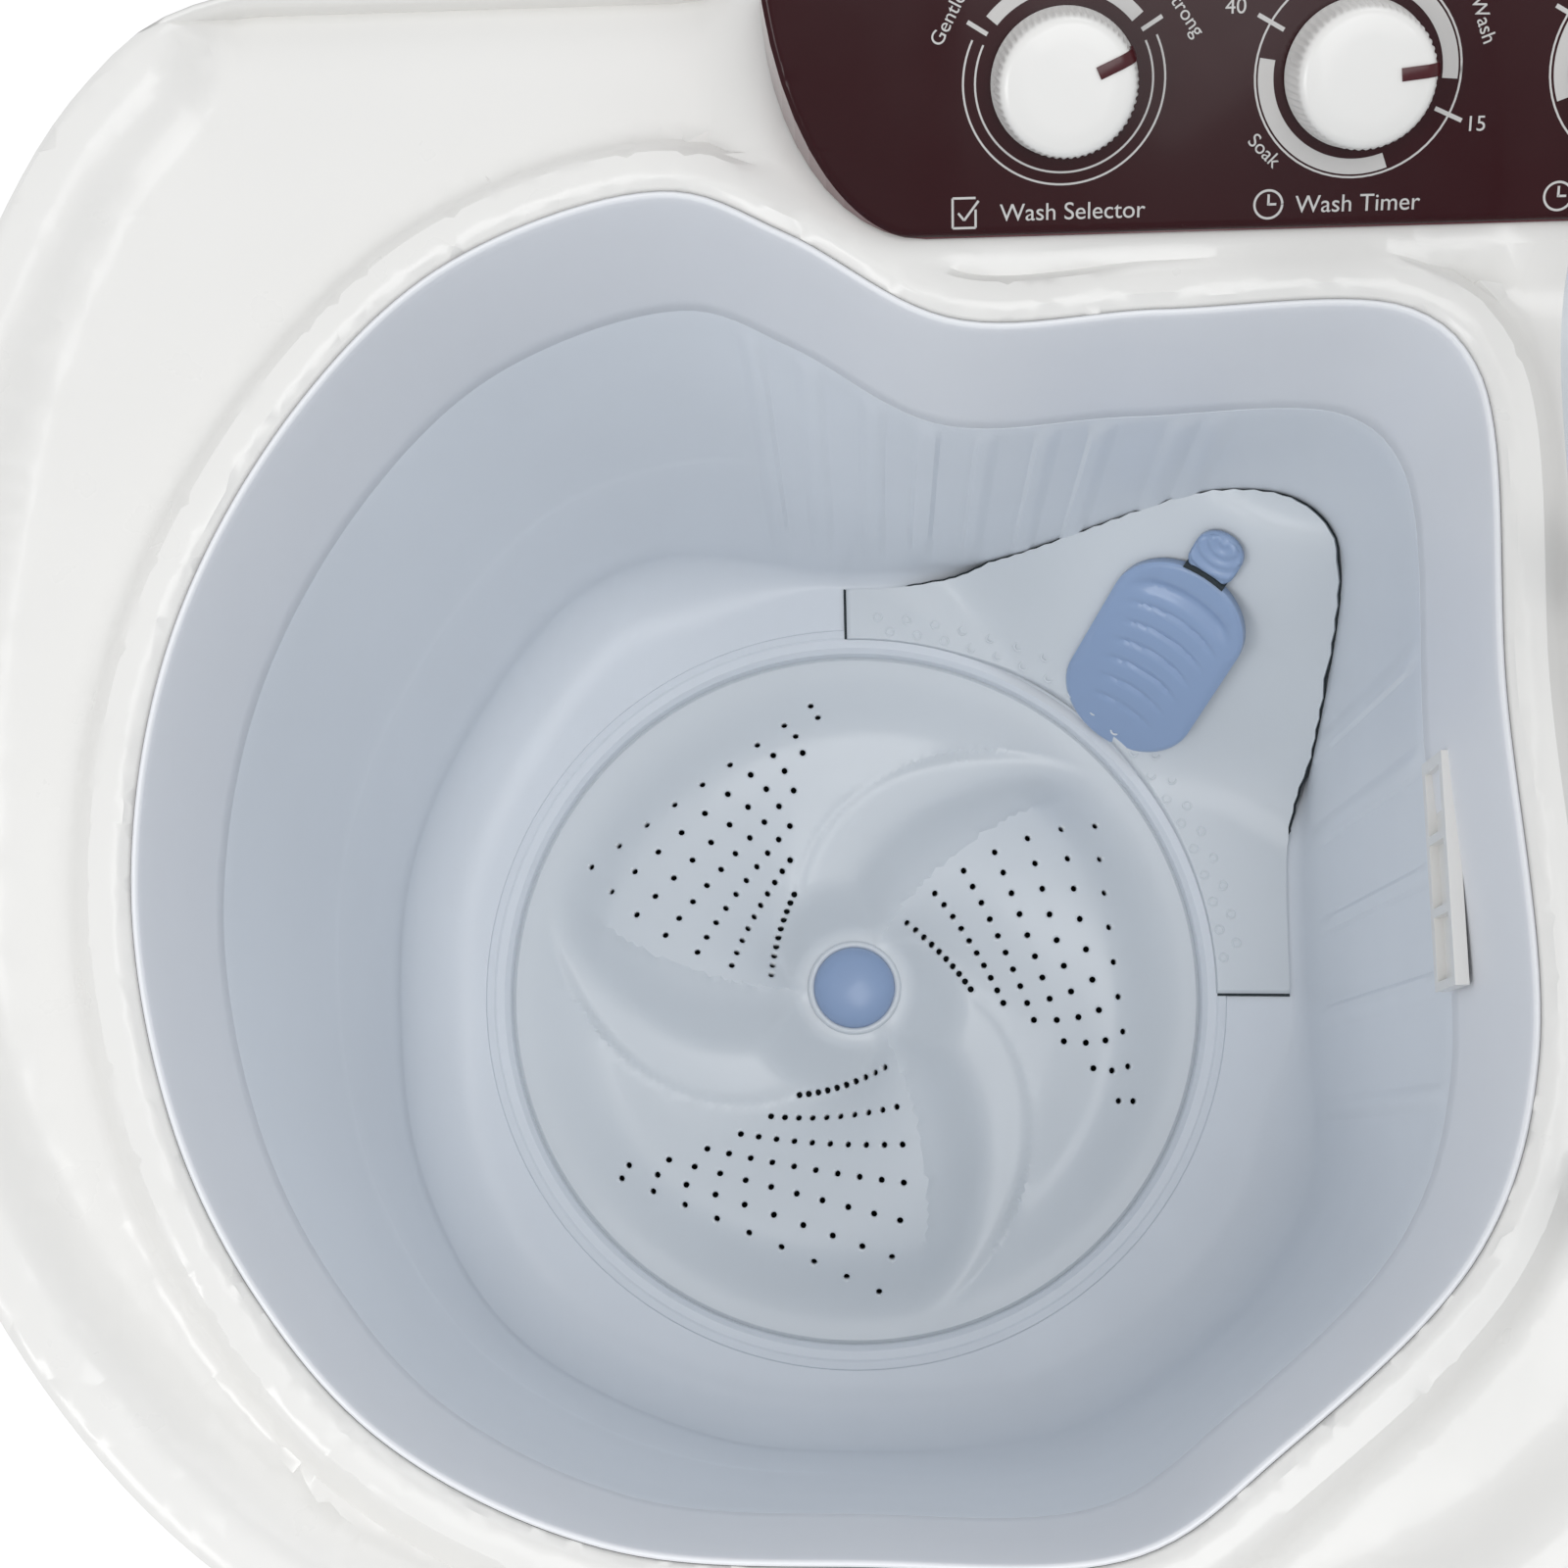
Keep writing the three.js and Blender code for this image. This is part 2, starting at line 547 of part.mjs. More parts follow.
function beltLoop(extra) {
  const dx = WASH_MOTOR[0] - WASH[0];
  const dy = WASH_MOTOR[1] - WASH[1];
  const heading = Math.atan2(dy, dx);
  const open = Math.acos((PULLEY_R - MOTOR_PULLEY_R) / Math.hypot(dx, dy));
  const arc = (centre, r, from, to) => Array.from({ length: 17 }, (_, i) => {
    const angle = from + (to - from) * i / 16;
    return [centre[0] + r * Math.cos(angle), centre[1] + r * Math.sin(angle)];
  });
  return [
    ...arc(WASH, PULLEY_R + extra, heading + open, heading + 2 * Math.PI - open),
    ...arc(WASH_MOTOR, MOTOR_PULLEY_R + extra, heading - open, heading + open),
  ];
}
add('drive_belt', prism(beltLoop(BELT_T + 1), pulleyZ[0] + 1, pulleyZ[1] - 1, [beltLoop(1)]), BLACK);
add('wash_motor', turned([
  [0, 200], [40, 200], [58, 214], [58, MOTOR_TOP - 14], [40, MOTOR_TOP], [8, MOTOR_TOP],
  [8, PULLEY_Z + BELT_H + 6], [0, PULLEY_Z + BELT_H + 6],
], WASH_MOTOR, 28), STEEL);

// ---- drain --------------------------------------------------------------------------
add('drain_valve_body', combine([
  rod(27, 392, 452, VALVE),
  box(WASH[0] + 160, VALVE[0], VALVE[1] - 16, VALVE[1] + 16, 470, 502),
  rod(27, 450, 502, VALVE),
], [
  rod(23, 395, 498, VALVE),
  box(WASH[0] + 155, VALVE[0], VALVE[1] - 13, VALVE[1] + 13, 473, 499),
  rod(5, 497, 510, VALVE, 16),
  rod(14, 380, 396, VALVE),
]), PLASTIC);
add('drain_plunger', turned([
  [0, 402], [20, 402], [20, 410], [7, 424], [3.5, 424], [3.5, 770], [0, 770],
], VALVE, 20), WHITE);
function pipe(points, r, sides, steps) {
  const places = points.map((point) => new THREE.Vector3(...point));
  const path = new THREE.CatmullRomCurve3(places, false, 'centripetal');
  const shape = new THREE.Shape(circle(r, [0, 0], sides).map(([x, y]) => new THREE.Vector2(x, y)));
  return new THREE.ExtrudeGeometry(shape, { extrudePath: path, steps, bevelEnabled: false });
}
add('drain_pipe', pipe([
  [VALVE[0], VALVE[1], 392 - GAP], [VALVE[0], VALVE[1], 200], [VALVE[0], VALVE[1] + 10, 135],
  [VALVE[0] + 60, VALVE[1] + 50, OUTLET[1] + 4], [OUTLET[0], 200, OUTLET[1]],
  [OUTLET[0], 218, OUTLET[1]], [OUTLET[0], SPIGOT_END - 37, OUTLET[1]],
], 17, 10, 18), PLASTIC);
add('drain_outlet', combine([
  alongY(turned([[14, 0], [21, 0], [21, 22], [30, 22], [30, 25.5], [19, 25.5], [19, 32.5], [14, 32.5]],
    [0, 0], 24), OUTLET[0], SPIGOT_END - 32.5, OUTLET[1]),
]), PLASTIC);

// ---- spin side ----------------------------------------------------------------------
const spinInner = SPIN_TUB_R - 4;
add('spin_tub', turned([
  [34, SPIN_TUB_FLOOR - 4], [SPIN_TUB_R - 8, SPIN_TUB_FLOOR - 4], [SPIN_TUB_R, SPIN_TUB_FLOOR + 8],
  [SPIN_TUB_R, SPIN_TUB_TOP], [spinInner, SPIN_TUB_TOP], [spinInner, SPIN_TUB_FLOOR + 10],
  [spinInner - 8, SPIN_TUB_FLOOR], [34, SPIN_TUB_FLOOR],
], SPIN, 28), TUB_GREY);
const basketBore = SPIN_SHAFT_R + GAP;
const basketInner = BASKET_R - 3;
add('spin_basket', turned([
  [basketBore, BASKET_FLOOR - 14], [30, BASKET_FLOOR - 14], [34, BASKET_FLOOR - 3],
  [BASKET_R - 12, BASKET_FLOOR - 3], [BASKET_R, BASKET_FLOOR + 8], [BASKET_R, BASKET_TOP],
  [basketInner, BASKET_TOP], [basketInner, BASKET_FLOOR + 10], [BASKET_R - 14, BASKET_FLOOR],
  [30, BASKET_FLOOR], [26, BASKET_FLOOR + 40], [basketBore, BASKET_FLOOR + 40],
], SPIN, 28), WHITE);
add('balance_ring', ring(BASKET_R - 14, BASKET_R - 3 - GAP, BASKET_TOP - 26, BASKET_TOP, SPIN, 28), TUB_GREY);
// A dished disc with a finger hole in the middle, clipped inside the balance ring.
const FINGER_HOLE_R = 28;
const coverZ = BASKET_TOP - 12;
add('spin_cover', turned([
  [FINGER_HOLE_R, coverZ], [BASKET_R - 15, coverZ], [BASKET_R - 15, coverZ + 14],
  [BASKET_R - 8, coverZ + 14], [BASKET_R - 8, coverZ + 17], [BASKET_R - 19, coverZ + 17],
  [BASKET_R - 19, coverZ + 3], [FINGER_HOLE_R, coverZ + 3],
], SPIN, 32), CLEAR);
add('spin_shaft', rod(SPIN_SHAFT_R, 205, BASKET_FLOOR + 46, SPIN), STEEL);
add('brake_drum', turned([
  [basketBore, 222], [DRUM_R, 222], [DRUM_R, 250], [20, 250], [20, 268], [basketBore, 268],
], SPIN, 32), ZINC);
add('spin_bellows', turned([
  [SPIN_SHAFT_R + 1, 290], [18, 290], [24, 300], [20, 308], [28, 318], [24, 326],
  [42, 334], [42, 336 - GAP], [30, 336 - GAP], [22, 328], [SPIN_SHAFT_R + 1, 300],
], SPIN, 16), BLACK);
const plateZ = [206, 209];
const motorTop = plateZ[0] - GAP;
add('spin_motor', turned([
  [0, 86], [44, 86], [SPIN_MOTOR_R, 98], [SPIN_MOTOR_R, 192], [44, motorTop], [12, motorTop],
  [12, motorTop - 1], [0, motorTop - 1],
], SPIN, 32), STEEL);
// The brake shoe lies beside the drum on a lever that swings about a post of the plate.
const shoeX = SPIN[0] + DRUM_R + 2;
const brakePost = [SPIN[0] + DRUM_R + 12, SPIN[1] + 70];
add('brake_lever', combine([
  box(shoeX, shoeX + 8, SPIN[1] - 18, SPIN[1] + 18, 226, 246),
  box(shoeX + 6, shoeX + 14, SPIN[1] - 18, brakePost[1], 230, 242),
  rod(9, 226, 246, brakePost, 16),
], [
  rod(4 + GAP, 220, 250, brakePost, 16),
]), ZINC);
const MOUNT_R = 92;
const mountPlaces = [90, 210, 330].map((degrees) => {
  const angle = THREE.MathUtils.degToRad(degrees);
  return [SPIN[0] + MOUNT_R * Math.cos(angle), SPIN[1] + MOUNT_R * Math.sin(angle)];
});
add('spin_motor_plate', combine([
  prism(circle(112, SPIN, 30), ...plateZ, [circle(21, SPIN, 20)]),
  rod(4, plateZ[0], 252, brakePost, 12),
]), ZINC);
mountPlaces.forEach((place, i) => {
  const [low, high] = [CABINET_FOOT, plateZ[0] - GAP];
  const bulge = Array.from({ length: 4 }, (_, k) => {
    const z = low + (high - low) * (k + 0.5) / 4;
    return [[17, z - 14], [21, z]];
  }).flat();
  const profile = [[0, low], [20, low], ...bulge, [20, high], [0, high]];
  add(`spin_mount_${i + 1}`, turned(profile, place, 12), BLACK);
});

// ---- wash lid, standing open on the bridge between the tubs -------------------------
const knuckle = () => rod(KNUCKLE_R, -11, 11, [0, 0], 12);
const hingePin = () => rod(PIN_R, -17, 17, [0, 0], 12);
const washLid = new THREE.Group();
washLid.position.set(WASH_HINGE[0], 0, WASH_HINGE[1]);
washLid.rotation.y = WASH_LID_LEAN;
part.add(washLid);
const lidOutline = grown(lipPlaced, 8).map(([x, y]) => [Math.min(x, WASH_HINGE[0] - KNUCKLE_R - 5), y])
  .map(([x, y]) => [x - WASH_HINGE[0], y]);
const LID_Z = [DECK_Z + 3 - WASH_HINGE[1], DECK_Z + 6 - WASH_HINGE[1]];
const LID_RIM = 2.5;                                  // ends just above the deck's ridge
const rimRing = combine([prism(lidOutline, LID_Z[0] - LID_RIM, LID_Z[0] + 1, [grown(lidOutline, -3)])],
  [box(-55, 60, -300, 300, -60, 20)]);
add('wash_lid', combine([
  prism(lidOutline, ...LID_Z),
  rimRing,
  ...washPins.map((y) => box(-30, 0, y - 9, y + 9, LID_Z[0], LID_Z[1])),
  ...washPins.map((y) => box(-6, 3, y - 9, y + 9, LID_Z[0], 0)),
  ...washPins.map((y) => alongY(knuckle(), 0, y, 0)),
], washPins.map((y) => alongY(pinHole(20), 0, y, 0))), CLEAR, washLid);
washPins.forEach((y, i) => {
  add(`wash_lid_pin_${i + 1}`, alongY(hingePin(), WASH_HINGE[0], y, WASH_HINGE[1]), STEEL);
});

// ---- spin lid, closed ---------------------------------------------------------------
const lidZ = [DECK_Z + 3, DECK_Z + 6];
const lidDisc = circle(SPIN_TUB_R, SPIN, 28);
add('spin_lid', combine([
  prism(lidDisc, ...lidZ),
  box(SPIN[0] - 100, SPIN[0] + 100, SPIN[1], SPIN_HINGE[0] - KNUCKLE_R - 3, ...lidZ),
  prism(circle(SPIN_TUB_R - 2, SPIN, 28), DECK_Z - 4, DECK_Z + 4, [circle(SPIN_TUB_R - 5, SPIN, 28)]),
  ...spinPins.map((x) => box(x - 9, x + 9, SPIN_HINGE[0] - 20, SPIN_HINGE[0], ...lidZ)),
  ...spinPins.map((x) => alongX(knuckle(), x, SPIN_HINGE[0], SPIN_HINGE[1])),
], spinPins.map((x) => alongX(pinHole(20), x, SPIN_HINGE[0], SPIN_HINGE[1]))), WINE);
spinPins.forEach((x, i) => {
  add(`spin_lid_pin_${i + 1}`, alongX(hingePin(), x, SPIN_HINGE[0], SPIN_HINGE[1]), STEEL);
});

// ---- control panel ------------------------------------------------------------------
const panel = new THREE.Group();
panel.position.set(0, PANEL_FRONT, DECK_Z + GAP);
panel.rotation.x = PANEL_SLOPE;
part.add(panel);
const panelTop = [
  PANEL_FRONT + PANEL_LENGTH * Math.cos(PANEL_SLOPE),
  DECK_Z + PANEL_LENGTH * Math.sin(PANEL_SLOPE),
];
function wedge(x0, x1, inset, drop) {
  const low = DECK_Z + GAP - drop;
  const front = PANEL_FRONT + inset * 3;
  const shape = [[front, low], [BACK - 2 - inset, low], [BACK - 2 - inset, panelTop[1] - 3 - inset],
    [panelTop[0] - inset, panelTop[1] - 3 - inset * 1.2]];
  const geometry = prism(shape, x0, x1);
  return geometry.applyMatrix4(new THREE.Matrix4().set(
    0, 0, 1, 0,
    1, 0, 0, 0,
    0, 1, 0, 0,
    0, 0, 0, 1,
  ));
}
// The housing's plan: square at the right, a long quarter ellipse at the front left.
const panelPlan = Array.from({ length: 13 }, (_, i) => {
  const angle = Math.PI + i / 12 * Math.PI / 2;
  return [PANEL_LEFT + 50 + 50 * Math.cos(angle), BACK - 2 + (BACK - 2 - PANEL_FRONT) * Math.sin(angle)];
}).concat([[PANEL_RIGHT, PANEL_FRONT], [PANEL_RIGHT, BACK - 2]]);
function withinPlan(geometry, outline) {
  return fromSolid(toSolid(geometry).intersect(toSolid(prism(outline, DECK_Z - 50, DECK_Z + 150))));
}
const knobHole = (r, x) => rod(r, -30, 30, [x, KNOB_ALONG], 16);
add('panel_housing', combine([
  withinPlan(wedge(PANEL_LEFT, PANEL_RIGHT, 0, 0), panelPlan),
], [
  withinPlan(wedge(PANEL_LEFT + 4, PANEL_RIGHT - 4, 3, 3), grown(panelPlan, -4)),
  ...KNOB_X.map((x) => knobHole(8, x).rotateX(PANEL_SLOPE).translate(0, PANEL_FRONT, DECK_Z)),
]), WINE);
const fasciaPlan = grown(panelPlan, -0.8).map(([x, y]) =>
  [x, Math.max(0, Math.min((y - PANEL_FRONT) / Math.cos(PANEL_SLOPE), PANEL_LENGTH - 2))]);
add('panel_fascia', combine([prism(fasciaPlan, GAP, GAP + FASCIA_T)],
  KNOB_X.map((x) => knobHole(5, x))), DARK_WINE, panel);

const KNOB_NAMES = ['knob_selector', 'knob_wash_timer', 'knob_spin_timer'];
const SWITCH_NAMES = ['selector_switch', 'wash_timer', 'spin_timer'];
const knobFoot = 2 * GAP + FASCIA_T;
KNOB_X.forEach((x, i) => {
  const at = [x, KNOB_ALONG];
  add(KNOB_NAMES[i], combine([
    turned([[0, knobFoot], [KNOB_R, knobFoot], [KNOB_R - 1, KNOB_H - 3], [KNOB_R - 3, KNOB_H - 0.8],
      [0, KNOB_H - 0.8]], at, 28),
    rod(3.5, -8.7, knobFoot + 2, at, 12),
    box(x - 2, x + 2, KNOB_ALONG + 4, KNOB_ALONG + KNOB_R - 3, KNOB_H - 3, KNOB_H),
  ]), WHITE, panel);
  add(SWITCH_NAMES[i], box(x - 22, x + 22, KNOB_ALONG - 20, KNOB_ALONG + 20, -36, -9), PLASTIC, panel);
});

// ---- what comes out at the back -----------------------------------------------------
add('water_inlet', alongY(turned([[6, 0], [15, 0], [15, 3], [10, 3], [10, 12], [6, 12]], [0, 0], 20),
  40, BACK - 2 + GAP, DECK_Z + 22), WHITE);
add('cord_gland', alongY(turned([[4.5, 0], [13, 0], [13, 3], [8, 3], [7, 9.5], [4.5, 9.5]], [0, 0], 20),
  330, BACK + GAP, 120), BLACK);

export default part;
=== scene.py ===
import bisect
import json
import math

import bmesh
import bpy
from mathutils import Matrix, Vector
from mathutils.geometry import delaunay_2d_cdt


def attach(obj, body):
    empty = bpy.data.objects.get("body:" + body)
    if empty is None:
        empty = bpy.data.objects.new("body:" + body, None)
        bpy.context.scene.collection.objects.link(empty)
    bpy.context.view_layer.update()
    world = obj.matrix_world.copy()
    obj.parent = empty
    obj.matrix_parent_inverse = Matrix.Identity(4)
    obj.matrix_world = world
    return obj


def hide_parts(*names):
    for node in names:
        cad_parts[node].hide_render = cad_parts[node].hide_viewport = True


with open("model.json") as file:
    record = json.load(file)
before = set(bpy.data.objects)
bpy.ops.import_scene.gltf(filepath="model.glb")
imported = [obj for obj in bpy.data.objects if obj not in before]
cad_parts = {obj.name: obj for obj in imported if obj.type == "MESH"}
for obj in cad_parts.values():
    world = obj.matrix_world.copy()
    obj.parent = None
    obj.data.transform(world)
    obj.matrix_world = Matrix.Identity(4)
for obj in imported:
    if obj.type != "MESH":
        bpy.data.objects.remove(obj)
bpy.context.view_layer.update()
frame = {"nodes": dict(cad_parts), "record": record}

WASH = (-121.0, -27.5)
SPIN = (262.0, -27.5)
FRONT, BACK, SIDE = -272.5, 262.0, 414.0
LIP_Z = 817.0
CHANNEL_Z = 803.0
DECK_SEAM = 784.0
TUB_TOP = 716.0
TUB_FLOOR = 506.0
DISC_Z = 500.0
DISC_R = 145.0
RECESS_R = 149.0
RECESS_Z = 476.0
SHAFT_HOLE_R = 22
SPIN_MOUTH_R = 126.0
PANEL_FRONT = 177.5
PANEL_LEFT, PANEL_RIGHT = -143.0, 368.0
PANEL_SLOPE = math.radians(32)
PANEL_LENGTH = 94.0
KNOB_ALONG = 46.0
KNOB_X = (-51.4, 36.1, 123.6)
KNOB_R = 22.0
KNOB_H = 20.0

# ---- camera: 10 degrees off straight down, over the wash tub -----------------------------
camera_data = bpy.data.cameras.new("camera")
camera_data.lens = 56.25
camera_data.sensor_width = 36
camera_data.clip_end = 50
camera = bpy.data.objects.new("camera", camera_data)
bpy.context.scene.collection.objects.link(camera)
camera.location = (-0.1176, -0.1141, 1.5343)
camera.rotation_euler = [math.radians(a) for a in (9.65, 1.92, -0.95)]
bpy.context.scene.camera = camera


# ---- small maths -------------------------------------------------------------------------
def clamp(value, low=0.0, high=1.0):
    return max(low, min(high, value))


def smooth(low, high, value):
    t = clamp((value - low) / (high - low))
    return t * t * (3 - 2 * t)


def bell(value, width):
    return math.exp(-(value / width) ** 2)


def spline(points, count):
    """A closed centripetal Catmull-Rom curve through the points, evenly spaced."""
    n = len(points)
    dense = []
    for i in range(n):
        p0, p1, p2, p3 = (Vector(points[(i + k) % n]) for k in (-1, 0, 1, 2))
        t1 = (p1 - p0).length ** 0.5
        t2 = t1 + (p2 - p1).length ** 0.5
        t3 = t2 + (p3 - p2).length ** 0.5
        for k in range(24):
            t = t1 + (t2 - t1) * k / 24
            a1 = p0 * ((t1 - t) / t1) + p1 * (t / t1)
            a2 = p1 * ((t2 - t) / (t2 - t1)) + p2 * ((t - t1) / (t2 - t1))
            a3 = p2 * ((t3 - t) / (t3 - t2)) + p3 * ((t - t2) / (t3 - t2))
            b1 = a1 * ((t2 - t) / t2) + a2 * (t / t2)
            b2 = a2 * ((t3 - t) / (t3 - t1)) + a3 * ((t - t1) / (t3 - t1))
            dense.append(b1 * ((t2 - t) / (t2 - t1)) + b2 * ((t - t1) / (t2 - t1)))
    return even([(p.x, p.y) for p in dense], count)


def even(line, count):
    """The closed line again, with count evenly spaced points."""
    n = len(line)
    reach = [0.0]
    for i in range(n):
        reach.append(reach[-1] + math.dist(line[i], line[(i + 1) % n]))
    out = []
    for k in range(count):
        want = reach[-1] * k / count
        i = min(bisect.bisect_right(reach, want) - 1, n - 1)
        t = (want - reach[i]) / max(reach[i + 1] - reach[i], 1e-9)
        (ax, ay), (bx, by) = line[i], line[(i + 1) % n]
        out.append((ax + (bx - ax) * t, ay + (by - ay) * t))
    return out


def grown(outline, distance):
    n = len(outline)
    out = []
    for i, (x, y) in enumerate(outline):
        (ax, ay), (bx, by) = outline[i - 1], outline[(i + 1) % n]
        length = math.hypot(bx - ax, by - ay)
        out.append((x + (by - ay) / length * distance, y - (bx - ax) / length * distance))
    return out


def circle(radius, centre=(0, 0), count=96):
    return [(centre[0] + radius * math.cos(2 * math.pi * i / count),
             centre[1] + radius * math.sin(2 * math.pi * i / count)) for i in range(count)]


def polar(outline, count):
    """Where rays from the middle, at count even angles, meet the outline."""
    out = []
    n = len(outline)
    for dx, dy in circle(1, count=count):
        reach = 0
        for i in range(n):
            (ax, ay), (bx, by) = outline[i], outline[(i + 1) % n]
            across = dx * (by - ay) - dy * (bx - ax)
            if abs(across) > 1e-9:
                t = (ax * (by - ay) - ay * (bx - ax)) / across
                s = (ax * dy - ay * dx) / across
                if t > reach and -1e-9 <= s <= 1 + 1e-9:
                    reach = t
        out.append((dx * reach, dy * reach))
    return out


def inside(outline, x, y):
    found = False
    j = len(outline) - 1
    for i in range(len(outline)):
        (ax, ay), (bx, by) = outline[i], outline[j]
        if (ay > y) != (by > y) and x < (bx - ax) * (y - ay) / (by - ay) + ax:
            found = not found
        j = i
    return found


def distance(outline, x, y):
    best = 1e9
    n = len(outline)
    for i in range(n):
        (ax, ay), (bx, by) = outline[i], outline[(i + 1) % n]
        dx, dy = bx - ax, by - ay
        t = clamp(((x - ax) * dx + (y - ay) * dy) / (dx * dx + dy * dy))
        best = min(best, (x - ax - dx * t) ** 2 + (y - ay - dy * t) ** 2)
    return math.sqrt(best)


def at_wash(outline):
    return [(x + WASH[0], y + WASH[1]) for x, y in outline]


# ---- outlines ----------------------------------------------------------------------------
BODY_POINTS = [
    (-414, 23), (-408, -60), (-372, -142), (-310, -212), (-225, -256), (-120, FRONT), (-20, -266),
    (60, -236), (108, -203), (122, -203), (165, -236), (262, -258), (345, -240), (398, -180),
    (414, -90), (414, 60), (414, 170), (404, 236), (370, BACK), (250, BACK), (60, BACK),
    (-130, BACK), (-310, BACK), (-354, 242), (-392, 172), (-408, 100)]
LIP_POINTS = [
    (-215, 13), (-202, -58), (-176, -110), (-137, -153), (-74, -183), (0, -189), (78, -187),
    (119, -160), (179, -104), (199, -50), (197, 60), (195, 160), (176, 180), (100, 182),
    (35, 181), (-15, 210), (-52, 225), (-120, 204), (-167, 159), (-204, 89)]
FLOOR_POINTS = [
    (-182, -4), (-174, -72), (-138, -135), (-60, -176), (0, -183), (72, -178), (112, -160),
    (158, -122), (180, -84), (185, -40), (187, 40), (190, 150), (172, 176), (90, 178),
    (0, 178), (-60, 180), (-108, 164), (-154, 107), (-178, 50)]
BODY = [(clamp(x, -SIDE, SIDE), clamp(y, FRONT, BACK)) for x, y in spline(BODY_POINTS, 260)]
LIP = spline(LIP_POINTS, 260)
FLOOR = spline(FLOOR_POINTS, 260)


# ---- materials ---------------------------------------------------------------------------
GLOSS_SPREAD = 0.08
GRAIN_HEIGHT = 0.0004
COAT_ROUGH = 0.06
BRUSH_STRETCH = 14


def linear(red, green, blue):
    def one(value):
        value /= 255
        return value / 12.92 if value <= 0.04045 else ((value + 0.055) / 1.055) ** 2.4
    return (one(red), one(green), one(blue), 1)


def material(name, colour, rough=0.35, metal=0.0, grain=900, depth=0.05, mottle=0.04,
             coat=0.0, alpha=1.0, brushed=False, shine=0.5):
    """A procedural surface: mottled colour, uneven gloss and a fine moulded or brushed grain."""
    made = bpy.data.materials.new(name)
    made.use_nodes = True
    nodes, links = made.node_tree.nodes, made.node_tree.links
    shader = nodes["Principled BSDF"]
    shader.inputs["Metallic"].default_value = metal
    shader.inputs["Coat Weight"].default_value = coat
    shader.inputs["Coat Roughness"].default_value = COAT_ROUGH
    shader.inputs["Alpha"].default_value = alpha
    shader.inputs["Specular IOR Level"].default_value = shine
    place = nodes.new("ShaderNodeTexCoord")
    stretch = nodes.new("ShaderNodeMapping")
    stretch.inputs["Scale"].default_value = (1, 1, BRUSH_STRETCH if brushed else 1)
    links.new(place.outputs["Object"], stretch.inputs["Vector"])

    def noise(scale, detail):
        node = nodes.new("ShaderNodeTexNoise")
        node.inputs["Scale"].default_value = scale
        node.inputs["Detail"].default_value = detail
        links.new(stretch.outputs["Vector"], node.inputs["Vector"])
        return node.outputs["Fac"]

    base = linear(*colour)
    shade = nodes.new("ShaderNodeValToRGB")
    shade.color_ramp.elements[0].position = 0.3
    shade.color_ramp.elements[1].position = 0.7
    shade.color_ramp.elements[0].color = [c * (1 - mottle) for c in base[:3]] + [1]
    shade.color_ramp.elements[1].color = [min(1, c * (1 + mottle)) for c in base[:3]] + [1]
    links.new(noise(9, 4), shade.inputs["Fac"])
    links.new(shade.outputs["Color"], shader.inputs["Base Color"])
    gloss = nodes.new("ShaderNodeMapRange")
    gloss.inputs["To Min"].default_value = max(0.02, rough - GLOSS_SPREAD)
    gloss.inputs["To Max"].default_value = rough + GLOSS_SPREAD
    links.new(noise(35, 5), gloss.inputs["Value"])
    links.new(gloss.outputs["Result"], shader.inputs["Roughness"])
    bump = nodes.new("ShaderNodeBump")
    bump.inputs["Strength"].default_value = depth
    bump.inputs["Distance"].default_value = GRAIN_HEIGHT
    links.new(noise(grain, 3), bump.inputs["Height"])
    links.new(bump.outputs["Normal"], shader.inputs["Normal"])
    return made


WHITE = material("white_shell", (232, 231, 228), 0.3, coat=0.2, depth=0.03, mottle=0.012)
COLLAR = material("collar_grey", (236, 238, 242), 0.36, depth=0.04, mottle=0.012)
TUB = material("tub_grey", (225, 230, 236), 0.34, depth=0.05, mottle=0.02)
COVER = material("cover_grey", (220, 225, 229), 0.34, coat=0.12, depth=0.02, mottle=0.015)
BLUE = material("blue_plastic", (150, 172, 206), 0.33, coat=0.15, depth=0.08, mottle=0.02,
                grain=1400)
WINE = material("wine_shell", (86, 14, 26), 0.2, coat=0.6, depth=0.02, mottle=0.08)
FASCIA = material("fascia", (46, 6, 12), 0.2, coat=0.12, depth=0.01, mottle=0.1, shine=0.2)
PRINT = material("panel_print", (196, 194, 192), 0.4, mottle=0.03)
POINTER = material("pointer", (70, 12, 20), 0.3, mottle=0.06)
RUBBER = material("rubber", (34, 34, 36), 0.75, depth=0.3, grain=500, mottle=0.15)
STEEL = material("steel", (178, 180, 182), 0.3, metal=1, depth=0.12, grain=260, brushed=True)
ZINC = material("zinc", (150, 153, 156), 0.42, metal=0.9, depth=0.15, grain=160, mottle=0.12)
DARK = material("dark_plastic", (58, 60, 63), 0.55, depth=0.2, grain=700, mottle=0.08)
CLEAR = material("clear_lid", (196, 204, 212), 0.16, alpha=0.62, coat=0.5, depth=0.02)
HOLE = material("hole_shadow", (44, 52, 56), 0.8, depth=0.1)

SLOT_LOOKS = {
    "white_shell": WHITE, "tub_grey": TUB, "cover_grey": COVER, "blue_plastic": BLUE,
    "wine_shell": WINE, "fascia": FASCIA, "rubber": RUBBER, "steel": STEEL, "zinc": ZINC,
    "dark_plastic": DARK, "clear_lid": CLEAR}
for entry in frame["record"]["subparts"]:
    node = frame["nodes"][entry["node"]]
    node.data.materials.clear()
    node.data.materials.append(SLOT_LOOKS[entry["material_slot"]])


